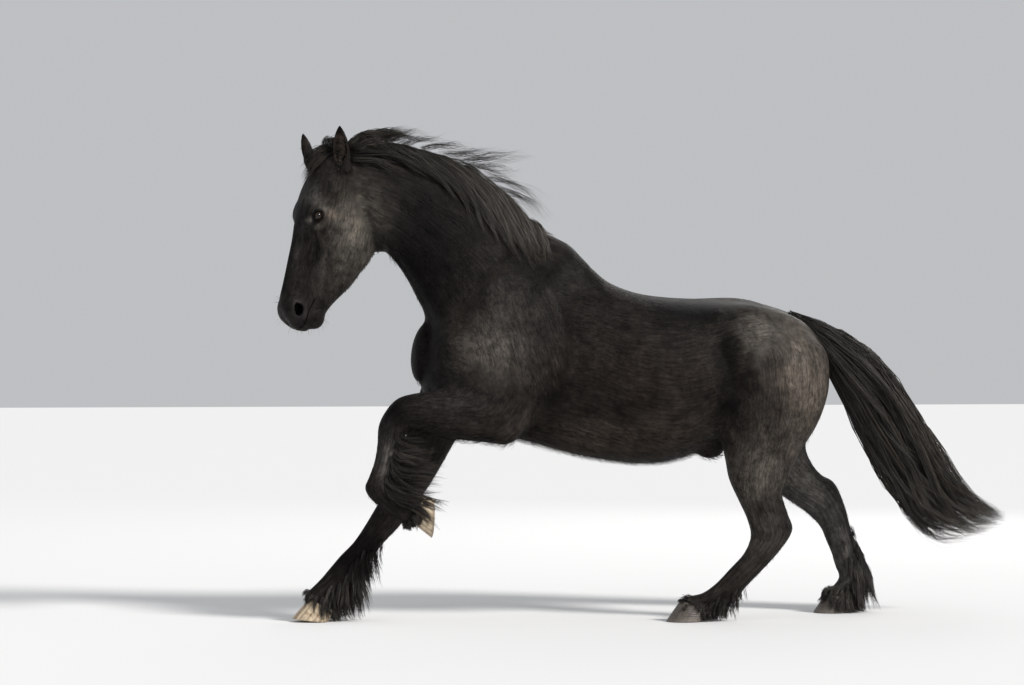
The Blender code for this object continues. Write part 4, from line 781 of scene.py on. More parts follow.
def skin_form(P):
    d = flesh(P)
    d = smin(d, bar(P, *DOCK), .03)
    depth = np.interp(np.linalg.norm(P-np.array([-1.12, -.09, 1.42]), axis=1), (.42, .55), (.0022, DEPTH))
    d = d+depth
    for s in EARS:
        b, t, o = EARS[s]
        low = ease((P-np.array(b))@(np.array(t)-np.array(b))/.03, .15, .45)
        d = smin(d, skin_ear(P, s), .030-.020*low)
    for k in HOOVES:                                   # the coronet band closes onto the horn
        d = smax(d, -hoof(P, k, -.004), .004)
    d = lids(P, d)
    d = muzzle(P, d)
    return d

def skin_levels(P):
    L = np.full(len(P), 3)
    head_ = np.linalg.norm((P-np.array([-1.11, -.09, 1.48]))/np.array([.24, .22, .42]), axis=1) < 1
    L[head_ | (P[:, 2] < .12) | ((P[:, 0] < -.72) & (P[:, 2] < .55))] = 2
    for b, t, o in EARS.values():
        mid = (np.array(b)+np.array(t))/2
        L[np.linalg.norm((P-mid)/np.array([.062, .062, .105]), axis=1) < 1] = 1
    Q = to_head(P)
    L[(Q[:, 2] < -.575) & (Q[:, 2] > -.70) & (np.abs(Q[:, 0]) < .075) & head_] = 1
    line = np.interp(Q[:, 2], (-.70, -.684, -.655, -.62, -.578), (.004, .000, -.004, -.010, -.024))
    L[(np.abs(Q[:, 0]-line+.0020) < .0120) & (Q[:, 2] < -.570) & (Q[:, 2] > -.705) & head_] = 0
    for w in (-1, 1):
        L[np.linalg.norm(Q-np.array([.042, w*.048, -.626]), axis=1) < .029] = 0
        L[np.linalg.norm(Q-np.array([EYE[0], w*EYE[1], EYE[2]]), axis=1) < .044] = 1
    for c, a, b, n in EYE_AT.values():
        L[np.linalg.norm(P-c-n*.012, axis=1) < .027] = 0
    return L


def mesh_object(name, verts, faces, smooth=True):
    """faces: an array of quads, triangles, or both in a list"""
    verts = np.asarray(verts, np.float32)-ORIGIN.astype(np.float32)
    faces = faces if isinstance(faces, list) else [faces]
    faces = [np.asarray(f, np.int32) for f in faces if len(f)]
    loops = np.concatenate([f.reshape(-1) for f in faces])
    count = np.concatenate([np.full(len(f), f.shape[1], np.int32) for f in faces])
    start = np.concatenate([[0], np.cumsum(count)[:-1]]).astype(np.int32)
    me = bpy.data.meshes.new(name)
    me.vertices.add(len(verts))
    me.vertices.foreach_set("co", verts.reshape(-1))
    me.loops.add(len(loops))
    me.loops.foreach_set("vertex_index", loops)
    me.polygons.add(len(count))
    me.polygons.foreach_set("loop_start", start)
    me.update(calc_edges=True)
    me.validate()
    me.polygons.foreach_set("use_smooth", np.full(len(me.polygons), smooth))
    ob = bpy.data.objects.new(name, me)
    scene.collection.objects.link(ob)
    return ob


def facing(V, Q, T):
    """smooth vertex normals"""
    N = np.zeros_like(V)
    for F, idx in ((Q, (0, 1, 2, 3)), (T, (0, 1, 2))):
        if not len(F):
            continue
        n = np.cross(V[F[:, 2]]-V[F[:, 0]], V[F[:, -1]]-V[F[:, 1]]) if F.shape[1] == 4 else np.cross(V[F[:, 1]]-V[F[:, 0]], V[F[:, 2]]-V[F[:, 0]])
        for i in idx:
            np.add.at(N, F[:, i], n)
    return N/np.maximum(np.linalg.norm(N, axis=1), 1e-12)[:, None]


def biggest(V, Q, T):
    """the largest connected shell"""
    n = len(V)
    parent = np.arange(n)
    E = np.vstack([np.column_stack([Q[:, i], Q[:, (i+1) % 4]]) for i in range(4)]+[np.column_stack([T[:, i], T[:, (i+1) % 3]]) for i in range(3)])
    while True:
        a, b = parent[E[:, 0]], parent[E[:, 1]]
        m = a != b
        if not m.any():
            break
        hi, lo = np.maximum(a[m], b[m]), np.minimum(a[m], b[m])
        np.minimum.at(parent, hi, lo)
        while True:
            p2 = parent[parent]
            if (p2 == parent).all():
                break
            parent = p2
    roots, cnt = np.unique(parent, return_counts=True)
    keep = parent == roots[cnt.argmax()]
    new = np.cumsum(keep)-1
    return V[keep], new[Q[keep[Q[:, 0]]]], new[T[keep[T[:, 0]]]]


# ---- sculpting: long low swells and furrows over muscle, bone, tendon and vein, as paths seen from the side
# (side, depth or height, half width, path in x and z)
NEAR, FARSIDE, BOTH = -1, 1, 0


def stroke_field(V, N, strokes):
    """height to move each point along its normal"""
    h = np.zeros(len(V))
    for side, height, width, path in strokes:
        path = np.asarray(path, float)
        lo, hi = path.min(0)-2.6*width, path.max(0)+2.6*width
        m = (V[:, 0] > lo[0]) & (V[:, 0] < hi[0]) & (V[:, 2] > lo[1]) & (V[:, 2] < hi[1])
        if side:
            m &= V[:, 1]*side > -.02
        ii = np.nonzero(m)[0]
        if not len(ii):
            continue
        p = V[ii][:, [0, 2]]
        best = np.full(len(ii), 9.0)
        along = np.zeros(len(ii))
        total = np.linalg.norm(np.diff(path, axis=0), axis=1)
        run = np.concatenate([[0], np.cumsum(total)])
        for k in range(len(path)-1):
            a, b = path[k], path[k+1]
            t = np.clip(((p-a)@(b-a))/((b-a)@(b-a)), 0, 1)
            dd = np.linalg.norm(p-a-t[:, None]*(b-a), axis=1)
            better = dd < best
            best = np.where(better, dd, best)
            along = np.where(better, run[k]+t*total[k], along)
        s = along/run[-1]
        taper = ease(s, 0, .18)*ease(1-s, 0, .18)
        turn = np.abs(N[ii, 1])
        if side:
            turn = np.clip(N[ii, 1]*side, 0, 1)
        h[ii] += height*np.exp(-(best/width)**2)*(.25+.75*taper)*ease(turn, .15, .55)
    return h


# ---- the lie of the coat: from the poll down the face and back along the neck and trunk, then down the legs
def blob(P, x, z, rx, rz, power=1.0):
    return np.exp(-(((P[:, 0]-x)/rx)**2+((P[:, 2]-z)/rz)**2)**power)


def path_of(sweep):
    t = np.gradient(sweep.c3, axis=0)
    step = np.linalg.norm(t, axis=1)
    return t/step[:, None], np.concatenate([[0], np.cumsum(step)[:-1]])

WAYS = [(_trunk,)+path_of(_trunk), (_neck,)+path_of(_neck)]+[(s,)+path_of(s) for s in _legs.values()]


def lie_at(P):
    """way that the hair lies, coordinates that run along and across it, and how near the place is to another way's region"""
    n = len(P)
    D = np.full((n, 8), FAR)
    T = np.zeros((n, 8, 3))
    F = np.zeros((n, 8, 3))
    for i, (sweep, tan, run) in enumerate(WAYS):
        m = np.nonzero(np.all((P > sweep.lo) & (P < sweep.hi), axis=1))[0]
        for s in range(0, len(m), 60000):
            ii = m[s:s+60000]
            d, f, u, v = sweep.place(P[ii])
            D[ii, i] = d
            k = np.clip(np.round(f).astype(int), 0, len(tan)-1)
            T[ii, i] = tan[k]
            F[ii, i] = np.column_stack([np.interp(f, np.arange(len(run)), run)+i*3.1, u, v])
    T[:, 0] = np.array([1, 0, 0])
    T[:, 0, 2] = -.22-.9*ease(P[:, 0], .62, .86)+.1*ease(-P[:, 2], -.8, -.6)
    T[:, 0] += np.outer(ease(-P[:, 0], .50, .64), [-1.0, 0, -1.0])          # breast: down
    T[:, 1, 2] -= .35
    Q = to_head(P)
    m = np.nonzero((Q[:, 2] < .05) & (Q[:, 2] > -.76) & (np.abs(Q[:, 0]+.04) < .3) & (np.abs(Q[:, 1]) < .2))[0]
    D[m, 6] = head(P[m])
    cheek = ease(-Q[:, 0], .02, .12)
    T[:, 6] = DOWN-FRONT*(.55*cheek)[:, None]
    F[:, 6] = np.column_stack([30-Q[:, 2]*2.6, Q[:, 0]*1.3, Q[:, 1]*1.3])          # the face's hair is short and fine
    e = ((P[:, 0]+.36)/.20)**2+((P[:, 2]-1.06)/.30)**2                        # shoulder: down and a little back
    s = 1-ease(e, .55, 1.25)
    D[:, 7] = np.where(e < 1.6, D[:, :2].min(1)+.030-.065*s, FAR)
    T[:, 7] = np.array([.30, 0, -1.0])
    F[:, 7] = np.column_stack([50-P[:, 2]+.3*P[:, 0], P[:, 0]+.3*P[:, 2], P[:, 1]])
    least = D.min(1)
    W = np.exp(-(D-least[:, None])/.022)
    lie = (W[:, :, None]*T).sum(1)
    two = np.partition(D, 1, axis=1)
    edge = 1-ease(two[:, 1]-two[:, 0], .003, .022)
    return lie/np.maximum(np.linalg.norm(lie, axis=1), 1e-9)[:, None], F[np.arange(n), D.argmin(1)], edge


def flat_lie(lie, N):
    t = lie-N*(lie*N).sum(1)[:, None]
    return t/np.maximum(np.linalg.norm(t, axis=1), 1e-9)[:, None]


# ---- markings with painted light and shade: one function for skin and tufts
def tone_at(P):
    """colour, with light and shade painted into it, and how bare the skin is"""
    n = len(P)
    c = np.tile(np.array([.0100, .0084, .0076]), (n, 1))

    def put(m, col, top=1.0):
        m = np.clip(m*top, 0, 1)[:, None]
        c[:] = c*(1-m)+np.array(col)*m
    brown, grey, black = (.0250, .0185, .0145), (.056, .0500, .0430), (.0018, .0015, .0015)
    # painted shade: the neck is made blackest, from the throat to the chest
    put(blob(P, -.72, 1.40, .22, .30), black, .95)
    put(blob(P, -.62, 1.66, .30, .09), black, .4)
    put(blob(P, -.67, .98, .07, .16), black, .7)
    # shoulder, upper arm, barrel and belly: painted light on the shoulder and upper arm; the barrel's brown; the
    # belly's lighter brown is the coat's own brown lifted as painted light from below
    put(blob(P, -.46, 1.03, .13, .11), (.056, .0490, .0430), .9)
    put(blob(P, -.38, 1.24, .12, .10), (.022, .0200, .0185), .6)
    put(blob(P, .12, .92, .34, .16), (.0125, .0095, .0080), .8)
    put(blob(P, .02, .70, .34, .075), (.036, .0280, .0225), .85)
    # painted shade over the withers and the loin
    put(blob(P, -.13, 1.33, .15, .09), (.0075, .0068, .0062), .8)
    put(blob(P, .34, 1.19, .20, .075), black, .92)
    # quarters and hind legs: painted light on the croup, thigh, gaskin, hock and far hind leg
    put(blob(P, .66, 1.10, .17, .10), grey, .95)
    put(blob(P, .74, .90, .11, .17), (.078, .0650, .0540), .95)
    put(blob(P, .58, .60, .12, .15), (.052, .0450, .0380), .88)
    put(blob(P, .60, .33, .12, .13), (.030, .0265, .0240), .8)
    far_leg = ease(P[:, 1], .02, .08)
    put(blob(P, .88, .47, .18, .24)*far_leg, (.040, .0375, .0345), .85)
    put(blob(P, 1.02, .18, .14, .16)*far_leg, (.048, .0455, .0430), .8)
    # painted shade in the flank hollow and in a furrow of the thigh
    put(blob(P, .450, .92, .060, .19), black, .92)
    put(blob(P, .62, .84, .035, .13), black, .35)
    # forelegs: painted light on the near forearm and cannon, painted shade on the near knee; the far foreleg lighter
    # above and darker below
    near_leg = ease(-P[:, 1], .02, .08)
    put(blob(P, -.60, .85, .16, .05)*near_leg, (.0180, .0160, .0150), .8)
    put(blob(P, -.82, .81, .060, .07)*near_leg, black, .9)
    put(blob(P, -.84, .62, .035, .09)*near_leg, (.0460, .0430, .0400), .85)
    put(blob(P, -.68, .62, .12, .14)*far_leg, (.0200, .0180, .0160), .7)
    put(blob(P, -.90, .30, .14, .15)*far_leg, black, .6)
    Q = to_head(P)
    h = (Q[:, 2] < .03) & (Q[:, 2] > -.76) & (np.abs(Q[:, 0]+.04) < .26) & (np.abs(Q[:, 1]) < .2)
    hh = h.astype(float)
    x, y, z = Q[:, 0], np.abs(Q[:, 1]), Q[:, 2]

    def spot(a, b, ra, rb):
        return hh*np.exp(-((x-a)/ra)**2-((z-b)/rb)**2)
    put(spot(-.10, -.28, .085, .13), (.0640, .0570, .0480), .95)        # painted light on the cheek
    put(spot(-.16, -.38, .060, .09), (.0400, .0360, .0310), .8)        # and down along the jaw
    put(spot(.074, -.200, .026, .045), (.0420, .0390, .0365), .9)      # over the eye
    put(spot(.100, -.165, .020, .040), (.0190, .0175, .0165), .7)      # forehead
    put(spot(-.015, -.43, .030, .10), (.026, .0235, .022), .7)        # below the crest
    put(spot(.014, -.395, .016, .085), black, .65)                     # painted shade: band under the eye
    put(spot(.050, -.43, .018, .08), black, .4)                       # painted shade: side of the nose
    put(spot(.084, -.37, .013, .090), (.034, .0315, .0300), .75)       # painted highlight on the nose bone
    # painted shade on the front of the face
    put(spot(.100, -.40, .028, .2), black, .65)
    put(spot(.004, -.250, .026, .016), (.088, .0700, .0570), .70)      # painted highlight behind the eye
    put(spot(.040, -.238, .026, .012), (.070, .0640, .0570), .65)      # painted highlight along the upper lid
    put(spot(.073, -.292, .008, .012), (.110, .0980, .0860), .8)       # painted glint at the inner corner of the eye
    put(spot(.036, -.310, .010, .012), (.075, .0680, .0600), .6)       # painted highlight under the lid
    put(spot(.020, -.285, .016, .030), (.030, .0250, .0215), .6)
    put(hh*ease(-z, .52, .60), (.0105, .0092, .0085), .8)            # muzzle
    bare = hh*ease(-z, .575, .645)*.8
    nost = np.sqrt(((x-.036)/.034)**2+((z+.628)/.044)**2)
    put(hh*ease(1.35-nost, 0, .5)*ease(y, .02, .035), (.018, .016, .0155), .7)
    put(hh*ease(.62-nost, 0, .25)*ease(y, .02, .04), (.0022, .002, .002), 1)
    lip = hh*np.exp(-((x+.006)/.012)**2)*ease(-z, .575, .60)
    put(lip, (.012, .010, .010), .6)
    for cc, a, b, nn in EYE_AT.values():
        r = P-cc
        e = np.sqrt((r@a/.0235)**2+(r@b/.0185)**2)
        m = np.exp(-(np.maximum(e-1, 0)/.22)**2)*(np.linalg.norm(r, axis=1) < .05)
        put(m, (.0034, .0028, .0028), .95)
        bare = np.maximum(bare, m)
    for s in EARS:
        b, t, o = [np.array(q) for q in EARS[s]]
        L = np.linalg.norm(t-b)
        ax = (t-b)/L
        op = o-ax*(o@ax)
        op /= np.linalg.norm(op)
        r = P-b
        k = r@ax/L
        u = r@op
        near = (np.linalg.norm(P-(b+t)/2, axis=1) < .12) & (k > -.05)
        off = np.linalg.norm(r-np.outer(r@ax, ax)-np.outer(u, op), axis=1)
        inside = near*np.exp(-(off/.014)**2)*ease(k, .15, .3)*ease(1-k, .08, .25)*ease(u, -.028, -.010)
        put(inside, (.058, .041, .032), .85)
        put(near*ease(k, .72, .95), black, .6)
    return np.clip(c, 0, 1), np.clip(bare, 0, 1)


def object_points(ob):
    co = np.zeros(len(ob.data.vertices)*3, np.float32)
    ob.data.vertices.foreach_get("co", co)
    return co.reshape(-1, 3).astype(float)+ORIGIN


def add_tone(ob, rgb, name="tone"):
    at = ob.data.color_attributes.new(name, "FLOAT_COLOR", "POINT")
    if rgb.shape[1] == 3:
        rgb = np.column_stack([rgb, np.ones(len(rgb))])
    at.data.foreach_set("color", rgb.astype(np.float32).reshape(-1))


def add_vector(ob, vec, name):
    at = ob.data.attributes.new(name, "FLOAT_VECTOR", "POINT")
    at.data.foreach_set("vector", vec.astype(np.float32).reshape(-1))


STROKES = [
    # shoulder and forearm
    (BOTH, .007, .045, [(-.25, 1.19), (-.25, 1.08), (-.26, .96)]),                                   # back edge of the shoulder
    (BOTH, -.008, .028, [(-.20, 1.18), (-.19, 1.05), (-.215, .95), (-.265, .84), (-.31, .75)]),      # furrow behind it
    (BOTH, .006, .016, [(-.235, .96), (-.285, .86), (-.335, .765), (-.37, .705)]),                   # triceps' edge
    (BOTH, .010, .085, [(-.42, 1.10), (-.42, .97)]),                                                 # triceps
    (NEAR, -.011, .022, [(-.70, .885), (-.60, .885), (-.52, .872), (-.45, .838)]),                   # crease over the forearm
    (NEAR, .004, .022, [(-.74, .865), (-.60, .845), (-.47, .80)]),                                   # extensor
    (NEAR, -.005, .012, [(-.72, .815), (-.58, .788), (-.45, .752)]),                                 # furrow under it
    (NEAR, .005, .026, [(-.64, .755), (-.52, .735), (-.42, .72)]),                                   # flexor
    (BOTH, .0045, .045, [(-.26, 1.49), (-.42, 1.31), (-.57, 1.10)]),                                  # front of the shoulder blade
    (BOTH, -.0040, .038, [(-.33, 1.50), (-.49, 1.31), (-.62, 1.14)]),                                 # furrow in front of it
    (BOTH, -.0045, .034, [(-.19, 1.40), (-.33, 1.24), (-.45, 1.12)]),                                 # behind the blade's spine
    (BOTH, -.008, .030, [(-.09, 1.375), (-.04, 1.27)]),                                              # hollow behind the withers
    # neck
    (BOTH, -.010, .026, [(-.84, 1.43), (-.76, 1.30), (-.69, 1.17), (-.64, 1.05)]),                   # jugular groove
    (BOTH, .006, .034, [(-.87, 1.55), (-.76, 1.40), (-.66, 1.25), (-.58, 1.10)]),                    # muscle from jaw to arm
    (BOTH, -.004, .030, [(-.84, 1.62), (-.68, 1.47), (-.52, 1.34)]),
    (BOTH, .005, .045, [(-.86, 1.72), (-.66, 1.62), (-.46, 1.50)]),                                  # crest muscle
    (BOTH, -.007, .022, [(-.935, 1.66), (-.93, 1.59), (-.915, 1.50)]),                               # behind the jaw and gland
    (BOTH, -.0025, .020, [(-.672, 1.12), (-.682, 1.01), (-.66, .90)]),                                # edge of the breast
    # quarters
    (BOTH, .010, .034, [(.415, 1.175), (.445, 1.155)]),                                              # hip bone
    (BOTH, .008, .026, [(.465, 1.14), (.525, 1.02), (.545, .91), (.50, .78)]),                       # front edge of the thigh
    (BOTH, -.013, .040, [(.405, 1.09), (.445, .97), (.475, .86)]),                                   # flank hollow
    (BOTH, .007, .026, [(.315, 1.08), (.335, 1.00), (.365, .92), (.415, .83)]),                      # last rib
    (BOTH, -.010, .022, [(.435, .84), (.475, .76), (.50, .70)]),                                     # flank fold
    (BOTH, -.007, .024, [(.595, 1.03), (.635, .93), (.645, .84)]),                                   # thigh furrows
    (BOTH, .004, .030, [(.545, 1.00), (.585, .90), (.585, .80)]),
    (BOTH, -.008, .022, [(.80, 1.04), (.785, .93), (.765, .83), (.715, .71), (.675, .60)]),
    (BOTH, .006, .045, [(.70, 1.02), (.715, .88), (.68, .76)]),
    (NEAR, -.009, .020, [(.635, .665), (.58, .625), (.545, .55)]),                                   # behind the shin bone
    (NEAR, .006, .013, [(.565, .655), (.49, .565)]),                                                 # shin crest
    (NEAR, .005, .014, [(.50, .54), (.54, .44), (.565, .36)]),
    (NEAR, -.009, .012, [(.655, .52), (.665, .45), (.672, .385)]),                                   # in front of the hamstring
    (NEAR, .004, .014, [(.545, .375), (.60, .345), (.64, .31)]),
    (NEAR, -.004, .009, [(.585, .30), (.53, .225), (.47, .155)]),                                    # cannon and tendon
    (NEAR, .004, .009, [(.62, .275), (.56, .20), (.505, .13)]),
    (FARSIDE, -.008, .015, [(.87, .60), (.895, .54), (.915, .485)]),
    (FARSIDE, .005, .014, [(.74, .53), (.83, .45), (.90, .385)]),
    (FARSIDE, -.004, .009, [(1.00, .325), (1.025, .25), (1.045, .18)]),
    (FARSIDE, .004, .009, [(1.03, .33), (1.055, .26), (1.075, .19)]),
    # fore legs
    (NEAR, -.004, .008, [(-.835, .70), (-.845, .63), (-.865, .565)]),
    (NEAR, .004, .009, [(-.81, .69), (-.82, .62), (-.84, .56)]),
    (NEAR, .004, .020, [(-.84, .80), (-.83, .765)]),                                                 # knee
    (NEAR, -.004, .010, [(-.80, .79), (-.80, .745)]),
    (FARSIDE, -.005, .014, [(-.66, .72), (-.71, .60), (-.755, .50)]),
    (FARSIDE, -.004, .008, [(-.845, .345), (-.89, .28), (-.93, .22)]),
    # trunk: faint ribs
    (BOTH, -.0022, .014, [(-.06, 1.02), (-.02, .86), (.05, .74)]),
    (BOTH, -.0022, .014, [(.01, 1.04), (.06, .88), (.13, .75)]),
    (BOTH, -.0022, .014, [(.09, 1.05), (.14, .90), (.21, .77)]),
    (BOTH, -.0020, .014, [(.17, 1.05), (.22, .91), (.29, .79)]),
    (BOTH, -.0055, .030, [(-.27, .70), (-.12, .69), (.05, .70)]),                                    # milk vein's furrow
]

# on the head, in its own frame: (height, half width, path in front and up)
FACE = [
    (.0060, .0080, [(.030, -.315), (.010, -.38), (-.010, -.46)]),            # facial crest
    (-.0085, .011, [(.004, -.330), (-.014, -.39), (-.034, -.455)]),           # under the crest
    (-.0085, .013, [(.050, -.345), (.046, -.42), (.046, -.50)]),              # beside the nose bone
    (.0030, .0042, [(-.120, -.455), (-.060, -.440), (-.005, -.400), (.020, -.350), (.040, -.320)]),   # vein
    (.0026, .0036, [(-.005, -.400), (.020, -.43), (.045, -.455)]),
    (-.0060, .018, [(-.175, -.415), (-.115, -.440), (-.060, -.44), (-.030, -.42)]),   # edge of the cheek muscle
    (-.0090, .011, [(-.045, -.200), (-.080, -.150), (-.105, -.115)]),        # behind the cheek bone
    (.0068, .012, [(.045, -.225), (.010, -.175), (-.035, -.135)]),           # arch behind the eye
    (-.0030, .0034, [(.066, -.290), (.0745, -.272), (.070, -.250), (.062, -.238)]),   # crease over the upper lid
    (-.0022, .0030, [(.040, -.300), (.032, -.285), (.030, -.265), (.034, -.245)]),    # crease under the lower lid
    (-.0042, .0036, [(.074, -.306), (.083, -.280), (.080, -.250), (.068, -.230)]),    # fold between lid and brow
    (-.0014, .0028, [(.038, -.312), (.022, -.290), (.020, -.262)]),
    (-.0060, .014, [(.030, -.190), (.010, -.160)]),                          # temple, above the arch
    (-.0045, .010, [(.012, -.300), (.014, -.262), (.008, -.230)]),           # under the eye's socket
    (-.0040, .009, [(.082, -.250), (.088, -.300)]),                          # beside the forehead
    (-.0018, .0045, [(.030, -.585), (.052, -.595), (.070, -.620)]),          # folds over the nostril
    (-.0016, .0040, [(.015, -.600), (.010, -.625), (.014, -.652)]),
    (-.0016, .0035, [(-.030, -.560), (-.020, -.545), (-.005, -.535)]),       # folds at the corner of the mouth
    (-.0016, .0035, [(-.045, -.575), (-.045, -.550), (-.035, -.530)]),
    (-.0030, .0060, [(-.030, -.615), (-.060, -.600), (-.085, -.595)]),       # chin groove
]


def face_field(V, N):
    Q = to_head(V)
    n = N@HEAD_AXES.T
    h = np.zeros(len(V))
    m = (Q[:, 2] < .02) & (Q[:, 2] > -.72) & (np.abs(Q[:, 0]) < .25) & (np.abs(Q[:, 1]) < .16)
    ii = np.nonzero(m)[0]
    p = Q[ii][:, [0, 2]]
    turn = ease(np.abs(n[ii, 1]), .12, .5)
    for height, width, path in FACE:
        path = np.asarray(path, float)
        best = np.full(len(ii), 9.0)
        for a, b in zip(path[:-1], path[1:]):
            t = np.clip(((p-a)@(b-a))/((b-a)@(b-a)), 0, 1)
            best = np.minimum(best, np.linalg.norm(p-a-t[:, None]*(b-a), axis=1))
        ends = np.minimum(np.linalg.norm(p-path[0], axis=1), np.linalg.norm(p-path[-1], axis=1))
        h[ii] += height*np.exp(-(best/width)**2)*turn*(.45+.55*ease(ends, 0, width*3))
    return h


V, Q4, T3 = surface(skin_form, (-1.32, -.46, .004), (1.2, .46, 1.98), .0016, 4, skin_levels, slack=1.3)
V, Q4, T3 = biggest(V, Q4, T3)
N = facing(V, Q4, T3)
eye_near = np.minimum(*[np.linalg.norm(V-c, axis=1) for c, a, b, n in EYE_AT.values()])
ear_near = np.minimum(*[np.linalg.norm((V-(np.array(b)+np.array(t))/2)/np.array([.06, .06, .10]), axis=1) for b, t, o in EARS.values()])
keep = ease(eye_near, .019, .029)*ease(ear_near, .8, 1.2)
move = (stroke_field(V, N, STROKES)+face_field(V, N))*np.maximum(keep, .0)
V = V+N*move[:, None]
N = facing(V, Q4, T3)
said("skin %d points, %d faces" % (len(V), len(Q4)*2+len(T3)))
skin = mesh_object("skin", V, [Q4, T3])


# ---- coat material: tone by place, broken up by streaks that run with the hair
class Nodes:
    def __init__(self, name):
        self.m = bpy.data.materials.new(name)
        self.m.use_nodes = True
        self.t = self.m.node_tree
        self.bsdf = self.t.nodes["Principled BSDF"]

    def new(self, kind, **k):
        n = self.t.nodes.new(kind)
        for a, b in k.items():
            setattr(n, a, b)
        return n

    def join(self, a, b):
        self.t.links.new(a, b)

    def noise(self, vec, scale, detail=3, rough=.5, stretch=(1, 1, 1)):
        mp = self.new("ShaderNodeMapping")
        mp.inputs["Scale"].default_value = stretch
        self.join(vec, mp.inputs["Vector"])
        n = self.new("ShaderNodeTexNoise")
        n.inputs["Scale"].default_value = scale
        n.inputs["Detail"].default_value = detail
        n.inputs["Roughness"].default_value = rough
        self.join(mp.outputs["Vector"], n.inputs["Vector"])
        return n.outputs["Fac"]

    def span(self, val, lo, hi, a, b):
        n = self.new("ShaderNodeMapRange")
        n.inputs["From Min"].default_value, n.inputs["From Max"].default_value = lo, hi
        n.inputs["To Min"].default_value, n.inputs["To Max"].default_value = a, b
        self.join(val, n.inputs["Value"])
        return n.outputs["Result"]

    def math(self, op, a, b):
        n = self.new("ShaderNodeMath", operation=op)
        for s, x in ((0, a), (1, b)):
            if isinstance(x, (int, float)):
                n.inputs[s].default_value = x
            else:
                self.join(x, n.inputs[s])
        return n.outputs[0]

    def times(self, col, fac):
        n = self.new("ShaderNodeVectorMath", operation="SCALE")
        self.join(col, n.inputs[0])
        self.join(fac, n.inputs["Scale"])
        return n.outputs[0]

    def mix(self, fac, a, b):
        n = self.new("ShaderNodeMix", data_type="RGBA")
        if isinstance(fac, (int, float)):
            n.inputs["Factor"].default_value = fac
        else:
            self.join(fac, n.inputs["Factor"])
        for s, x in (("A", a), ("B", b)):
            if isinstance(x, tuple):
                n.inputs[s].default_value = x+(1,)
            else:
                self.join(x, n.inputs[s])
        return n.outputs["Result"]

    def bump(self, height, strength, distance, before=None):
        n = self.new("ShaderNodeBump")
        n.inputs["Strength"].default_value = strength
        n.inputs["Distance"].default_value = distance
        self.join(height, n.inputs["Height"])
        if before is not None:
            self.join(before, n.inputs["Normal"])
        return n.outputs["Normal"]


def coat_material(name, tufts=False):
    k = Nodes(name)
    tone = k.new("ShaderNodeVertexColor", layer_name="tone")
    at = k.new("ShaderNodeTexCoord").outputs["Object"]
    col = tone.outputs["Color"]
    patch = k.noise(at, 5.5, 4, .55)
    fleck = k.noise(at, 46, 3, .6)
    mottle = k.noise(at, 15, 4, .65)
    col = k.times(col, k.math("MULTIPLY", k.span(patch, .32, .68, .72, 1.32), k.span(fleck, .3, .7, .78, 1.25)))
    col = k.times(col, k.span(mottle, .34, .66, .62, 1.46))
    if not tufts:
        flow = k.new("ShaderNodeAttribute", attribute_name="flow").outputs["Vector"]
        bare = tone.outputs["Alpha"]
        hairy = k.math("SUBTRACT", 1.0, bare)
        streak = k.noise(flow, 1, 3, .6, (26, 330, 330))
        clump = k.noise(flow, 1, 2, .5, (9, 95, 95))
        col = k.mix(hairy, col, k.times(col, k.math("MULTIPLY", k.span(streak, .28, .72, .50, 1.60), k.span(clump, .3, .7, .66, 1.40))))
        height = k.math("MULTIPLY", k.math("ADD", streak, k.math("MULTIPLY", clump, .8)), hairy)
        pores = k.math("MULTIPLY", k.noise(at, 950, 2, .5), bare)
        nrm = k.bump(height, .75, .0026)
        nrm = k.bump(pores, .35, .0006, nrm)
        k.join(nrm, k.bsdf.inputs["Normal"])
        k.join(k.span(k.math("MULTIPLY", bare, 1.0), 0, 1, .46, .40), k.bsdf.inputs["Roughness"])
    else:
        fine = k.noise(at, 240, 2, .5)
        k.join(k.bump(fine, .25, .0008), k.bsdf.inputs["Normal"])
        k.bsdf.inputs["Roughness"].default_value = .46
    k.join(col, k.bsdf.inputs["Base Color"])
    k.bsdf.inputs["Specular IOR Level"].default_value = .04
    k.bsdf.inputs["Sheen Weight"].default_value = .0
    k.bsdf.inputs["Sheen Roughness"].default_value = .45
    k.bsdf.inputs["Sheen Tint"].default_value = (.80, .78, .76, 1)
    return k.m


co = object_points(skin)
lie_v, flow_v, edge_v = lie_at(co)
tone_v, bare_v = tone_at(co)
add_tone(skin, np.column_stack([tone_v, np.maximum(bare_v, edge_v*.9)]))
add_vector(skin, flow_v, "flow")
skin.data.materials.append(coat_material("coat"))
said("skin toned")


# ---- the skin's unwrap
bpy.context.view_layer.objects.active = skin
skin.select_set(True)
skin.data.uv_layers.new(name="OFBake")
bpy.ops.object.mode_set(mode="EDIT")
bpy.ops.mesh.select_all(action="SELECT")
bpy.ops.uv.smart_project(angle_limit=math.radians(66), island_margin=.0012)
bpy.ops.object.mode_set(mode="OBJECT")
skin.select_set(False)
said("unwrapped")

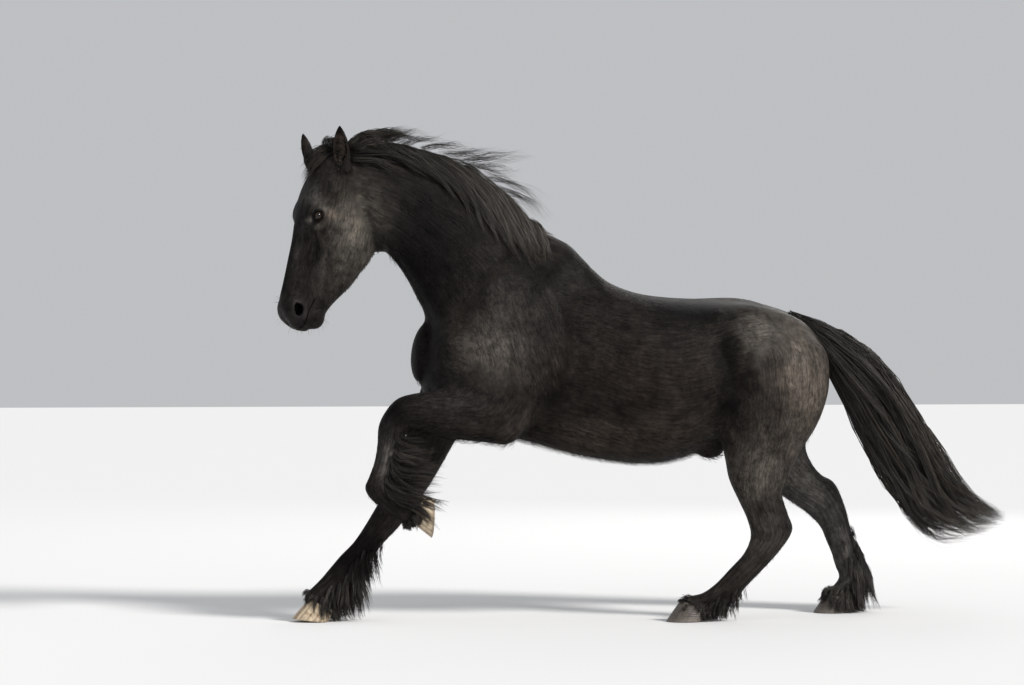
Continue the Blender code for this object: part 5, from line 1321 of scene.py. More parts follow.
me = skin.data
nf = len(me.polygons)
F_start, F_total = np.zeros(nf, np.int32), np.zeros(nf, np.int32)
me.polygons.foreach_get("loop_start", F_start)
me.polygons.foreach_get("loop_total", F_total)
L_vert = np.zeros(len(me.loops), np.int32)
me.loops.foreach_get("vertex_index", L_vert)
L_uv = np.zeros(len(me.loops)*2, np.float32)
me.uv_layers["OFBake"].uv.foreach_get("vector", L_uv)
L_uv = L_uv.reshape(-1, 2)
F_mid, F_nrm, F_area = np.zeros(nf*3, np.float32), np.zeros(nf*3, np.float32), np.zeros(nf, np.float32)
me.polygons.foreach_get("center", F_mid)
me.polygons.foreach_get("normal", F_nrm)
me.polygons.foreach_get("area", F_area)
F_mid, F_nrm = F_mid.reshape(-1, 3).astype(float)+ORIGIN, F_nrm.reshape(-1, 3).astype(float)
F_uv = np.add.reduceat(L_uv, F_start, axis=0)/F_total[:, None]
F_first = L_vert[F_start]
F_lie, F_tone, F_bare = flat_lie(lie_v[F_first], F_nrm), tone_v[F_first], bare_v[F_first]
SKIN_TREE = BVHTree.FromPolygons([tuple(p) for p in co], [tuple(L_vert[s:s+t]) for s, t in zip(F_start, F_total)])


def nearest_faces(P):
    return np.array([SKIN_TREE.find_nearest(Vector(p))[2] for p in P])


def outside(P, gap):
    """points moved out of the body, to stand at least gap clear of it"""
    flat = P.reshape(-1, 3).copy()
    g = np.broadcast_to(np.asarray(gap, float), P.shape[:-1]).reshape(-1)
    for _ in range(2):
        d = flesh(flat)
        m = d < g
        if not m.any():
            break
        gr = gradient(flesh, flat[m], .004)
        gr /= np.maximum(np.linalg.norm(gr, axis=1), 1e-6)[:, None]
        flat[m] += gr*(g[m]-d[m])[:, None]
    return flat.reshape(P.shape)


# ---- strands: closed, tapered, three-sided
def strands(name, path, half, up, tone, uv, flat=.5, material=None):
    """path (S, K, 3), half (S, K) half width, up (S, 3) outward, tone (S, K, 3), uv (S, 2) place of the root on the skin's unwrap"""
    S, K = path.shape[:2]
    t = np.gradient(path, axis=1)
    t /= np.maximum(np.linalg.norm(t, axis=2), 1e-9)[:, :, None]
    up = np.broadcast_to(up[:, None, :] if up.ndim == 2 else up, path.shape)
    side = np.cross(t, up)
    side /= np.maximum(np.linalg.norm(side, axis=2), 1e-9)[:, :, None]
    nrm = np.cross(side, t)
    ang = np.radians([90, 210, 330])
    ca, sa = np.cos(ang)[None, None, :, None], np.sin(ang)[None, None, :, None]
    h = half[:, :-1, None, None]
    ring = path[:, :-1, None, :]+side[:, :-1, None, :]*ca*h+nrm[:, :-1, None, :]*sa*h*flat
    verts = np.concatenate([ring.reshape(S, -1, 3), path[:, -1:]], axis=1)
    nv = 3*(K-1)+1
    q = [[3*k+j, 3*(k+1)+j, 3*(k+1)+(j+1) % 3, 3*k+(j+1) % 3] for k in range(K-2) for j in range(3)]
    r = [[3*(K-2)+j, nv-1, 3*(K-2)+(j+1) % 3] for j in range(3)]+[[0, 1, 2]]
    off = (np.arange(S)*nv)[:, None, None]
    faces = []
    if q:
        faces.append((np.array(q)[None]+off).reshape(-1, 4))
    faces.append((np.array(r)[None]+off).reshape(-1, 3))
    ob = mesh_object(name, verts.reshape(-1, 3), faces)
    tn = np.concatenate([np.repeat(tone[:, :-1], 3, axis=1), tone[:, -1:]], axis=1).reshape(-1, 3)
    add_tone(ob, tn)
    # the whole strand is a patch .003 across, at its root's place
    pu = np.array([(j+.5)/3-.5 for k in range(K-1) for j in range(3)]+[0])*.003
    pv = np.array([k/(K-1)-.5 for k in range(K-1) for j in range(3)]+[.5])*.003
    u = np.clip(uv, .0016, .9984)[:, None, :]+np.column_stack([pu, pv])[None]
    u = u.reshape(-1, 2).astype(np.float32)
    lv = np.zeros(len(ob.data.loops), np.int32)
    ob.data.loops.foreach_get("vertex_index", lv)
    layer = ob.data.uv_layers.new(name="OFBake")
    layer.uv.foreach_set("vector", u[lv].reshape(-1))
    if material:
        ob.data.materials.append(material)
    return ob


def taper(S, K, width, root=.55, full=.25, tip=.12):
    """half widths along a strand"""
    s = np.linspace(0, 1, K)[None]
    w = (root+(1-root)*ease(s, 0, full))*(1-(1-tip)*ease(s, .45, 1.0))
    return np.asarray(width).reshape(-1, 1)*w*np.ones((S, 1))


def clumped(guides, per, rng, spread, pinch=.65, wave=.004, frizz=.003, short=.25, turns=2.2, stray=.06):
    """strands around guides: spread is the radius at the root, drawn together towards the tips"""
    G, K = guides.shape[:2]
    s = np.linspace(0, 1, K)
    t = np.gradient(guides, axis=1)
    t /= np.maximum(np.linalg.norm(t, axis=2), 1e-9)[:, :, None]
    ref = np.array([0, 1.0, 0])
    a = np.cross(t, ref)
    a /= np.maximum(np.linalg.norm(a, axis=2), 1e-9)[:, :, None]
    b = np.cross(t, a)
    g = np.repeat(np.arange(G), per)
    n = len(g)
    ph = rng.uniform(0, 2*np.pi, n)
    rad = np.sqrt(rng.uniform(0, 1, n))*np.broadcast_to(spread, (G,))[g]
    loose = rng.uniform(0, 1, n) < stray
    pin = np.where(loose, -.45, pinch)*rng.uniform(.7, 1.1, n)
    k = 1-pin[:, None]*ease(s, .05, 1.0)[None]**.8
    gp = rng.uniform(0, 2*np.pi, G)[g]
    gt = rng.uniform(.7, 1.3, G)[g]*turns
    wv = np.broadcast_to(wave, (G,))[g][:, None]*(s[None]**1.1)
    sw = np.sin(gp[:, None]+gt[:, None]*2*np.pi*s[None]+rng.normal(0, .35, n)[:, None])*wv
    sv = np.cos(gp[:, None]*1.7+gt[:, None]*.8*2*np.pi*s[None]+rng.normal(0, .35, n)[:, None])*wv*.7
    fz = frizz*s[None]
    f1 = np.sin(rng.uniform(0, 6.28, n)[:, None]+rng.uniform(2, 5, n)[:, None]*2*np.pi*s[None])*fz
    f2 = np.sin(rng.uniform(0, 6.28, n)[:, None]+rng.uniform(2, 5, n)[:, None]*2*np.pi*s[None])*fz
    oa = rad[:, None]*np.cos(ph)[:, None]*k+sw+f1
    ob_ = rad[:, None]*np.sin(ph)[:, None]*k+sv+f2
    # shorter strands stop part of the way along the guide
    cut = 1-short*rng.uniform(0, 1, n)**1.5
    pos = cut[:, None]*s[None]*(K-1)
    i0 = np.minimum(pos.astype(int), K-2)
    w = (pos-i0)[:, :, None]
    row = g[:, None]

    def at(A):
        return A[row, i0]*(1-w)+A[row, i0+1]*w

    def at1(A):
        r = np.arange(n)[:, None]
        return A[r, i0]*(1-w[:, :, 0])+A[r, i0+1]*w[:, :, 0]
    return at(guides)+at(a)*at1(oa)[:, :, None]+at(b)*at1(ob_)[:, :, None], g


def hair_material(name, rough=.44):
    k = Nodes(name)
    tone = k.new("ShaderNodeVertexColor", layer_name="tone")
    at = k.new("ShaderNodeTexCoord").outputs["Object"]
    patch = k.noise(at, 9, 3, .55)
    fine = k.noise(at, 170, 2, .5)
    k.join(k.times(tone.outputs["Color"], k.math("MULTIPLY", k.span(patch, .32, .68, .75, 1.28), k.span(fine, .3, .7, .75, 1.25))), k.bsdf.inputs["Base Color"])
    k.join(k.bump(k.noise(at, 420, 2, .5), .2, .0005), k.bsdf.inputs["Normal"])
    k.bsdf.inputs["Roughness"].default_value = rough
    k.bsdf.inputs["Specular IOR Level"].default_value = .20
    k.bsdf.inputs["Anisotropic"].default_value = .4
    return k.m


# ---- eyes: a ball with a raised cornea; iris and pupil by colour on a fine mesh
def eye_object(side):
    c, a, b, n = EYE_AT[side]
    rings, cols = 48, 64
    verts, tint = [], []
    for i in range(rings+1):
        th = math.pi*(i/rings)**1.35
        for j in range(cols):
            ph = 2*math.pi*j/cols
            s, co = math.sin(th), math.cos(th)
            r = EYE_RADIUS+.0009*math.exp(-(th/.62)**4)-.00035*math.exp(-((th-.72)/.12)**2)
            d = a*(s*math.cos(ph))+b*(s*math.sin(ph))+n*co
            verts.append(c+d*r)
            x, y = s*math.cos(ph)*EYE_RADIUS, s*math.sin(ph)*EYE_RADIUS
            pupil = (abs(x)/.0078)**2.4+(abs(y)/.0044)**2.2
            e = math.hypot(x/.0150, y/.0128)
            fibre = .5+.5*math.sin(ph*37+3*math.sin(ph*5))*math.sin(e*9+2)
            if co < 0:
                col = (.05, .03, .025)
            elif pupil < 1:
                col = (.004, .004, .006)
            elif e < 1:
                k = .55+.45*fibre
                k *= 1-.55*max(0, e-.72)/.28
                k *= min(1, .35+(pupil-1)*.9)
                col = (.034*k, .019*k, .011*k)
            else:
                t = min(1, (e-1)/.14)
                col = (.008+.016*t, .006+.010*t, .005+.008*t)
            tint.append(col)
    faces = []
    for i in range(rings):
        for j in range(cols):
            k = (j+1) % cols
            faces.append([i*cols+j, (i+1)*cols+j, (i+1)*cols+k, i*cols+k])
    ob = mesh_object("eyeball_"+side, verts, np.array(faces))
    bm = bmesh.new()
    bm.from_mesh(ob.data)
    bmesh.ops.remove_doubles(bm, verts=bm.verts, dist=1e-6)
    bmesh.ops.recalc_face_normals(bm, faces=bm.faces)
    bm.to_mesh(ob.data)
    bm.free()
    co = np.zeros(len(ob.data.vertices)*3, np.float32)
    ob.data.vertices.foreach_get("co", co)
    co = co.reshape(-1, 3)
    src = np.asarray(verts, np.float32)-ORIGIN.astype(np.float32)
    tint = np.asarray(tint)
    # welded points take the colour of the first one there
    k3 = {tuple(np.round(p, 6)): t for p, t in zip(src[::-1], tint[::-1])}
    cols_ = np.array([k3.get(tuple(np.round(p, 6)), (.01, .01, .01)) for p in co])
    at = ob.data.color_attributes.new("tone", "FLOAT_COLOR", "POINT")
    at.data.foreach_set("color", np.column_stack([cols_, np.ones(len(cols_))]).astype(np.float32).reshape(-1))
    for p in ob.data.polygons:
        p.use_smooth = True
    m = bpy.data.materials.new("eye_"+side)
    m.use_nodes = True
    nt = m.node_tree
    bs = nt.nodes["Principled BSDF"]
    col = nt.nodes.new("ShaderNodeVertexColor")
    col.layer_name = "tone"
    noise = nt.nodes.new("ShaderNodeTexNoise")
    noise.inputs["Scale"].default_value = 900
    mix = nt.nodes.new("ShaderNodeMix")
    mix.data_type, mix.blend_type = "RGBA", "MULTIPLY"
    mix.inputs["Factor"].default_value = .35
    nt.links.new(col.outputs["Color"], mix.inputs["A"])
    nt.links.new(noise.outputs["Color"], mix.inputs["B"])
    nt.links.new(mix.outputs["Result"], bs.inputs["Base Color"])
    bs.inputs["Roughness"].default_value = .08
    bs.inputs["Coat Weight"].default_value = .12
    bs.inputs["Specular IOR Level"].default_value = .30
    bs.inputs["Coat Roughness"].default_value = .02
    ob.data.materials.append(m)
    return ob

eyes = {s: eye_object(s) for s in EYE_AT}


# ---- hooves: horn with growth rings, heels, and a sole with its frog
PIECES = []


def horn(P, name):
    c, f, s, up = hoof_frame(name)
    d = hoof(P, name, -.0012)
    r = P-c
    x, y, z = r@f, r@s, r@up
    xc = x+.050*z/HOOF_TOE
    # growth rings follow the coronet's slope; clefts at the heel
    slope = .42*np.clip((HOOF_LONG-xc)/(2*HOOF_LONG), 0, 1)
    zz = (z-.0)/(1-slope*.6)
    d = d+.00045*np.sin(zz*2*np.pi/.0085+1.5*np.sin(zz*90))*ease(z, .006, .016)
    d = d+.0003*np.sin(np.arctan2(y, xc)*46)*ease(z, .004, .02)
    d = smax(d, -bar(P, c-f*.078+up*.050, c-f*.062-up*.006, .007, .006, pad=.05), .006)
    if name == "fore_left":
        sole = np.maximum((z-.010+.10*np.clip(np.abs(xc/.062)**2.2+np.abs(y/.053)**2.2, 0, 1.2)*.07), 0)
        inside = np.sqrt((xc/(HOOF_LONG-.010))**2+(y/(HOOF_WIDE-.010))**2)-1
        dish = np.maximum(inside*.05, z-.007*ease(-inside, 0, .45))
        d = smax(d, -dish, .0025)
        # frog: a wedge that opens to the heels, with grooves beside it and a cleft down its middle
        t = (xc+.070)/.085
        half = .020*np.clip(1-t, 0, 1)+.0015
        frog = np.maximum(np.abs(y)-half, np.maximum(z-.010, np.abs(xc+.030)-.044))
        groove = np.maximum(np.abs(np.abs(y)-half-.0035)-.0022, np.maximum(z-.011, np.abs(xc+.030)-.044))
        d = smin(d, np.maximum(frog, .0012-z), .002)
        d = smax(d, -groove, .0025)
        cleft = np.maximum(np.abs(y)-.0018, np.maximum(z-.008, np.abs(xc+.045)-.020))
        d = smax(d, -cleft, .002)
    return d


HORN = {}
for name in HOOVES:
    c, f, s, up = hoof_frame(name)
    mid = c+up*.045-f*.02
    fn = lambda P, n=name: horn(P, n)
    v, q, t = surface(fn, mid-.13, mid+.13, .0018 if name == "fore_left" else .0022, 3, lambda P: np.zeros(len(P)), project=1)
    v, q, t = biggest(v, q, t)
    ob = mesh_object("horn_"+name, v, [q, t])
    r = v-c
    x, y, z = r@f, r@s, r@up
    xc = x+.050*z/HOOF_TOE
    a = np.arctan2(y, xc)
    pale = name.startswith("fore")
    streak = .5+.5*np.sin(a*13+2.2*np.sin(a*5+1.3))*np.cos(a*7+.8)
    mott = .5+.5*np.sin(x*150+2*np.sin(y*110))*np.sin(z*120+1.7*np.sin(x*90+y*60))
    if pale:
        base = np.array([.52, .42, .29])*(1-.25*ease(z, .03, .085))[:, None]
        k = np.clip(.60*ease(streak, .62, .92)+.40*ease(mott, .62, .95), 0, 1)[:, None]
        base = base*(1-k)+np.array([.17, .105, .062])*k
        k = ease(.012-z, 0, .010)[:, None]*.5
        base = base*(1-k)+np.array([.30, .23, .16])*k
    else:
        base = np.array([.075, .062, .052])*(.75+.5*streak)[:, None]
        k = ease(.030-z, 0, .030)[:, None]*.45
        base = base*(1-k)+np.array([.19, .165, .14])*k
    if name == "fore_left":
        under = ease(.0125-z, 0, .004)
        white = under*np.exp(-((np.sqrt((xc/(HOOF_LONG-.010))**2+(y/(HOOF_WIDE-.010))**2)-1)/.05)**2)
        base = base*(1-.55*under[:, None])+np.array([.20, .165, .125])*(.55*under)[:, None]
        base = base*(1-white[:, None]*.6)+np.array([.62, .55, .42])*(white*.6)[:, None]
    add_tone(ob, base)
    k = Nodes("horn_"+name)
    tone = k.new("ShaderNodeVertexColor", layer_name="tone")
    at = k.new("ShaderNodeTexCoord").outputs["Object"]
    n1 = k.noise(at, 60, 4, .6)
    n2 = k.noise(at, 420, 3, .6)
    k.join(k.times(tone.outputs["Color"], k.math("MULTIPLY", k.span(n1, .3, .7, .72, 1.25), k.span(n2, .3, .7, .85, 1.15))), k.bsdf.inputs["Base Color"])
    k.join(k.bump(n2, .4, .0006, k.bump(n1, .3, .0012)), k.bsdf.inputs["Normal"])
    k.join(k.span(n1, .3, .7, .34, .55), k.bsdf.inputs["Roughness"])
    ob.data.materials.append(k.m)
    HORN[name] = ob
    side = name+"_hoof"
    PIECES.append((ob, (side,), "hoof_light" if pale else "hoof_dark"))
said("hooves")


# ---- long hair
# HAIR_GREY is partly sun-bleached hair and partly painted sheen
HAIR_BLACK, HAIR_BROWN, HAIR_GREY = np.array([.0090, .0078, .0072]), np.array([.045, .0350, .0270]), np.array([.085, .078, .070])


def hair_tone(g, n_guides, rng, S, K, brown=.35, grey=.12, tip=.35):
    """a tone for each strand, alike within a lock, lighter towards the tips; the grey mixed in is partly sun-bleached
    hair and partly painted sheen
    """
    lock_b = np.clip(rng.normal(brown, .28, n_guides), 0, 1)[g]
    lock_g = np.clip(rng.normal(grey, .16, n_guides), 0, 1)[g]
    b = np.clip(lock_b+rng.normal(0, .16, S), 0, 1)[:, None, None]
    w = np.clip(lock_g+rng.normal(0, .10, S), 0, 1)[:, None, None]
    s = np.linspace(0, 1, K)[None, :, None]
    k = np.clip(b*(.35+.65*s)+tip*s**2*b, 0, 1)
    c = HAIR_BLACK*(1-k)+HAIR_BROWN*k
    w = w*(.3+.7*s)
    c = c*(1-w)+HAIR_GREY*w
    return c*rng.uniform(.75, 1.25, S)[:, None, None]


def root_uv(P):
    return F_uv[nearest_faces(P)]


HAIR = hair_material("long_hair")
rng = np.random.default_rng(11)


def tail_at(f, a, b):
    f = np.clip(f, 0, len(_tail.tab)-1.001)
    i = f.astype(int)
    w = (f-i)[..., None]
    T = _tail.tab[i]*(1-w)+_tail.tab[i+1]*w
    h = np.where(a > 0, T[..., 6], T[..., 7])
    P = T[..., :3].copy()
    P[..., 0] += T[..., 3]*a*h
    P[..., 2] += T[..., 4]*a*h
    P[..., 1] += b*T[..., 5]
    return P


def tail_guides(G, K, rng):
    s = np.linspace(0, 1, K)[None]
    t = rng.uniform(0, 1, G)**.8
    th = rng.uniform(-np.pi, np.pi, G)
    r = rng.uniform(0, 1, G)**.38
    a, b = np.cos(th)*r, np.sin(th)*r
    d0, d1 = np.array([.735, 0, 1.145]), np.array([.935, 0, 1.060])
    ax = (d1-d0)/np.linalg.norm(d1-d0)
    up = np.array([-ax[2], 0, ax[0]])
    ra = np.clip(th*.8, -2.0, 2.0)
    root = d0+t[:, None]*(d1-d0)+(.046-.018*t)[:, None]*(np.cos(ra)[:, None]*up+np.sin(ra)[:, None]*np.array([0, 1.0, 0]))
    f0 = 1+7*t
    late = ease(a, -.9, .5)
    f1 = 72*np.clip(.66+.34*rng.uniform(0, 1, G)**.45+.10*(late-.5), .5, 1)
    f = f0[:, None]+(f1-f0)[:, None]*s
    p1, p2 = rng.uniform(0, 6.28, G)[:, None], rng.uniform(0, 6.28, G)[:, None]
    big = np.sin(f/72*2*np.pi*1.25+1.0)                      # the whole tail's own long wave
    A = a[:, None]*(.92+.12*big)+(.26*np.sin(p1+f/72*2*np.pi*rng.uniform(1.0, 2.2, G)[:, None])+.05*big)*ease(s, .1, .5)
    B = b[:, None]+.26*np.sin(p2+f/72*2*np.pi*rng.uniform(.9, 2.0, G)[:, None])*ease(s, .1, .5)
    q = np.sqrt(A*A+B*B)
    over = np.maximum(q/1.04, 1)
    P = tail_at(f, A/over, B/over)
    e = ease(s, 0, .20)[:, :, None]
    lift = root[:, None]+(ax*.10+up*.028*np.cos(ra)[:, None]+np.array([0, .030, 0])*np.sin(ra)[:, None])[:, None]*s[:, :, None]*3.0
    return lift*(1-e)+P*e, root


G = 230
guides, roots = tail_guides(G, 18, rng)
guides = outside(guides, .006)
per = 24
path, g = clumped(guides, per, rng, .017, pinch=.78, wave=.010, frizz=.0045, short=.30, turns=2.4, stray=.07)
K_ = 10
pick = np.linspace(0, path.shape[1]-1, K_)
i0 = np.minimum(pick.astype(int), path.shape[1]-2)
w_ = (pick-i0)[None, :, None]
path = path[:, i0]*(1-w_)+path[:, i0+1]*w_
S_ = len(path)
# the tail's grey: partly sun-bleached hair, partly painted sheen
tone = hair_tone(g, G, rng, S_, K_, .26, .36)
half = taper(S_, K_, rng.uniform(.0010, .0019, S_), tip=.10)
uvr = root_uv(roots)[g]
up_ = path[:, 3]-np.array([1.0, 0, .8])
up_ = (path[:, 4]-tail_at(np.full(S_, 30.0), np.zeros(S_), np.zeros(S_)))
up_ = np.column_stack([np.zeros(S_), np.sign(path[:, 6, 1]+1e-6), np.full(S_, .3)])
up_ += rng.normal(0, .5, up_.shape)
n3 = 3
cuts = np.array_split(rng.permutation(S_), n3)
for i, c_ in enumerate(cuts):
    ob = strands("tail_hair_%d" % (i+1), path[c_], half[c_], up_[c_], tone[c_], uvr[c_], .6, HAIR)
    PIECES.append((ob, ("tail_upper", "tail_middle", "tail_tip"), "long_hair"))
said("tail %d strands" % S_)


def on_neck(f, down, side, lift):
    """point over the neck, by rib and way down from the crest"""
    f = np.clip(f, 0, len(_neck.tab)-1.001)
    i = f.astype(int)
    w = (f-i)[..., None]
    T = _neck.tab[i]*(1-w)+_neck.tab[i+1]*w
    u = T[..., 6]-down
    h = np.where(u > 0, T[..., 6], T[..., 7])
    e = np.where(u > 0, T[..., 8], T[..., 9])
    k = np.clip(np.abs(u/h), 0, .9999)
    v = T[..., 5]*(1-k**e)**(1/e)
    nu = np.sign(u)*np.maximum(k, 1e-4)**(e-1)/h
    nv = np.maximum(v/T[..., 5], 1e-4)**(e-1)/T[..., 5]
    L = np.sqrt(nu*nu+nv*nv)
    nu, nv = nu/L, nv/L
    u = u+nu*lift
    P = T[..., :3].copy()
    P[..., 0] += T[..., 3]*u
    P[..., 2] += T[..., 4]*u
    P[..., 1] += side*(v+nv*lift)
    return P


def thinned(path, K):
    pick = np.linspace(0, path.shape[1]-1, K)
    i = np.minimum(pick.astype(int), path.shape[1]-2)
    w = (pick-i)[None, :, None]
    return path[:, i]*(1-w)+path[:, i+1]*w


rng = np.random.default_rng(23)
K = 16
s = np.linspace(0, 1, K)[None]
GAP_F = .0177


def mane_side(G, side, rng):
    fr = rng.uniform(.0, 42, G)
    q = rng.uniform(.05, 1, G)**.8
    if side < 0:
        reach = np.interp(fr, *zip(*MANE_NEAR))*q*rng.uniform(.9, 1.25, G)*np.interp(fr, (12, 26, 42), (1, 1.45, 1.5))
        ell = rng.uniform(.18, .42, G)*np.interp(fr, (0, 20, 42), (1.0, 1.0, .50))
        bend = rng.uniform(.9, 1.5, G)
    else:
        reach = np.interp(fr, *zip(*MANE_FAR))*(.35+.65*q)
        ell = rng.uniform(.10, .28, G)*np.interp(fr, (0, 20, 42), (1.0, 1.0, .6))
        bend = rng.uniform(.9, 1.3, G)
    f1 = np.minimum(fr+ell/GAP_F, 44.0+rng.uniform(0, 3.5, G))
    f = fr[:, None]+(f1-fr)[:, None]*s
    start = rng.uniform(0, .018, G)
    dn = start[:, None]+reach[:, None]*s**bend[:, None]
    wob = rng.uniform(0, 6.28, G)[:, None]
    dn += .007*np.sin(wob+s*2*np.pi*rng.uniform(.8, 1.8, G)[:, None])*s
    rise = np.interp(f, *zip(*MANE_RISE))
    over = np.exp(-(dn/.05)**2)
    lift = rise*rng.uniform(.15, .95, G)[:, None]*ease(s, -.05, .22)*(1-.75*ease(s, .55, 1))*(.35+.65*over)
    lift = lift+.003+.009*rng.uniform(0, 1, G)[:, None]*ease(s, 0, .3)
    P = on_neck(f, np.maximum(dn, 0), side, lift)
    root = on_neck(fr, start, side, np.zeros(G)-.002)
    P[:, 0] = root
    return P, root


def curved(rows, n, rng, jitter=.016, wave=.006):
    """loose locks: from, by way of, to"""
    out = []
    t = s[0][:, None]
    for p0, p1, p2, k in rows:
        for _ in range(max(1, int(round(k*n)))):
            a, b, c = [np.array(p)+rng.normal(0, jitter, 3)*np.array([1, 1, .45])*m for p, m in ((p0, .7), (p1, .8), (p2, 1.3))]
            out.append((1-t)**2*a+2*t*(1-t)*b+t*t*c+np.array([0, 1, .8])*wave*np.sin(t*rng.uniform(7, 12)+rng.uniform(0, 6))*t)
    return np.array(out)


def mane_piece(name, P, per, spread, pinch, side, brown, wave, frizz, K2=8, width=(.0008, .0015), grey=.14, light=((-1, 1), (0, 1))):
    path, g = clumped(P, per, rng, spread, pinch=pinch, wave=wave, frizz=frizz, short=.35, turns=1.5, stray=.08)
    path = thinned(path, K2)
    path[:, 1:] = outside(path[:, 1:], .0015)
    S_ = len(path)
    tone = hair_tone(g, len(P), rng, S_, K2, brown, grey)
    # light: painted light and shade along the neck, as a factor by place from poll to withers
    tone = tone*np.interp(P[:, 0, 0], *zip(*light))[g][:, None, None]
    half = taper(S_, K2, rng.uniform(*width, S_), tip=.08)
    up_ = np.tile(np.array([0, side, .8]), (S_, 1))+rng.normal(0, .45, (S_, 3))
    ob = strands(name, path, half, up_, tone, root_uv(P[:, 0])[g], .6, HAIR)
    PIECES.append((ob, ("mane",), "long_hair"))
    said("%s %d strands" % (name, S_))


for side, G in ((-1, 250), (1, 150)):
    P, root = mane_side(G, side, rng)
    P[:, 1:] = outside(P[:, 1:], np.linspace(.002, .006, K-1)[None]*np.ones((len(P), 1)))
    # the near side's mane is painted lighter towards the withers, with more grey as painted sheen
    mane_piece("mane_hair_"+("near" if side < 0 else "far"), P, 13 if side < 0 else 17,
               .0095, .35 if side < 0 else .6, side, .42 if side < 0 else .25, .0040 if side < 0 else .006, .0028, grey=.30 if side < 0 else .14, light=((-.95, .45), (-.68, .70), (-.50, 1.80)) if side < 0 else ((-1, .8), (0, .8)))
# a loose heap behind the ears, and wisps that stream off the crest
heap = curved((((-.985, -.075, 1.800), (-.92, -.075, 1.900), (-.80, -.060, 1.838), 1.0),
               ((-.975, -.060, 1.800), (-.86, -.050, 1.905), (-.72, -.050, 1.862), .7),
               ((-.960, -.090, 1.790), (-.90, -.110, 1.870), (-.80, -.110, 1.800), .8),
               ((-.940, -.040, 1.805), (-.84, -.020, 1.890), (-.70, -.010, 1.842), .7)), 14, rng, .018, .007)
heap[:, 1:] = outside(heap[:, 1:], .004)
mane_piece("mane_heap", heap, 12, .0100, .30, -1, .28, .007, .006)
wisps = curved((((-.86, -.05, 1.822), (-.78, -.05, 1.872), (-.66, -.05, 1.868), 1.0),
                ((-.78, -.045, 1.822), (-.70, -.045, 1.855), (-.58, -.045, 1.838), 1.0),
                ((-.70, -.040, 1.812), (-.62, -.040, 1.838), (-.50, -.040, 1.800), 1.0),
                ((-.62, -.035, 1.790), (-.50, -.035, 1.800), (-.36, -.045, 1.782), 1.0),
                ((-.56, -.030, 1.762), (-.44, -.035, 1.785), (-.25, -.050, 1.778), 1.0),
                ((-.52, -.030, 1.742), (-.42, -.030, 1.745), (-.30, -.040, 1.718), 1.0),
                ((-.46, -.025, 1.706), (-.34, -.030, 1.690), (-.20, -.035, 1.590), 1.0),
                ((-.40, -.020, 1.662), (-.28, -.025, 1.640), (-.18, -.030, 1.520), 1.0)), 8, rng, .024, .008)
wisps[:, 1:] = outside(wisps[:, 1:], .003)
mane_piece("mane_wisps", wisps, 6, .0090, .05, -1, .22, .010, .008, 10, (.00035, .0007))


# forelock: locks that fall between the ears, and strands blown over the brow
G = 60
base = np.column_stack([rng.uniform(-.030, .040, G), rng.uniform(-.034, .034, G), rng.uniform(-.010, .012, G)])
tip = np.column_stack([rng.uniform(.075, .105, G), rng.uniform(-.015, .060, G), rng.uniform(-.165, -.060, G)])
back = rng.uniform(0, 1, G) < .35
tip[back] = np.column_stack([rng.uniform(-.06, .02, G), rng.uniform(-.05, .05, G), rng.uniform(.020, .050, G)])[back]
mid = (base+tip)/2+np.column_stack([np.full(G, .012), rng.normal(0, .012, G), rng.uniform(.030, .058, G)])
t = s[0][None, :, None]
P = (1-t)**2*base[:, None]+2*t*(1-t)*mid[:, None]+t*t*tip[:, None]
P += .004*np.sin(rng.uniform(0, 6, (G, 1, 3))+t*7)*t
P = from_head(P.reshape(-1, 3)).reshape(P.shape)
P[:, 1:] = outside(P[:, 1:], .003)
path, g = clumped(P, 17, rng, .010, pinch=.7, wave=.004, frizz=.003, short=.35, turns=1.4, stray=.12)
path = thinned(path, 9)
path[:, 1:] = outside(path[:, 1:], .0012)
S_ = len(path)
tone = hair_tone(g, G, rng, S_, 9, .22, .08)
up_ = np.tile(FRONT+np.array([0, 0, .5]), (S_, 1))+rng.normal(0, .4, (S_, 3))
ob = strands("forelock_hair", path, taper(S_, 9, rng.uniform(.0007, .0013, S_), tip=.1), up_, tone, root_uv(P[:, 0])[g], .6, HAIR)
PIECES.append((ob, ("forelock",), "long_hair"))
said("forelock %d strands" % S_)


# ---- feathers: long hair behind the cannons and over the hooves
def grow(leg, root, nrm, first, aim, length, depth, K, turn=.4, gap=.0018):
    """paths that leave along first, bend towards aim, and lie within the feather's own outline, outermost where depth is 1"""
    def outer(q):
        return smin(flesh(q), feathers(q, leg), .02)

    def body(q):
        return np.minimum(flesh(q), hoof(q, leg))
    P = [root-nrm*.0015]
    for k in range(1, K):
        e = ease(np.array((k-.5)/(K-1)), 0, turn)
        d = first*(1-e)+aim*e
        d /= np.maximum(np.linalg.norm(d, axis=1), 1e-9)[:, None]
        q = P[-1]+d*(length/(K-1))[:, None]
        fill = ease(np.array(k/(K-1)), 0, .40)*(1-.6*ease(np.array(k/(K-1)), .75, 1.0))
        o = outer(q)
        level = -(1-depth)*.050-.002
        m = (o < level) & (feathers(q, leg) < .004)
        if m.any():
            g = gradient(outer, q[m], .004)
            g /= np.maximum(np.linalg.norm(g, axis=1), 1e-6)[:, None]
            q[m] += g*np.minimum((level[m]-o[m])*fill*.6, length[m]/(K-1)*.9)[:, None]
        b = body(q)
        m = b < gap
        if m.any():
            g = gradient(body, q[m], .003)
            g /= np.maximum(np.linalg.norm(g, axis=1), 1e-6)[:, None]
            q[m] += g*(gap-b[m])[:, None]
        P.append(q)
    return np.stack(P, axis=1)


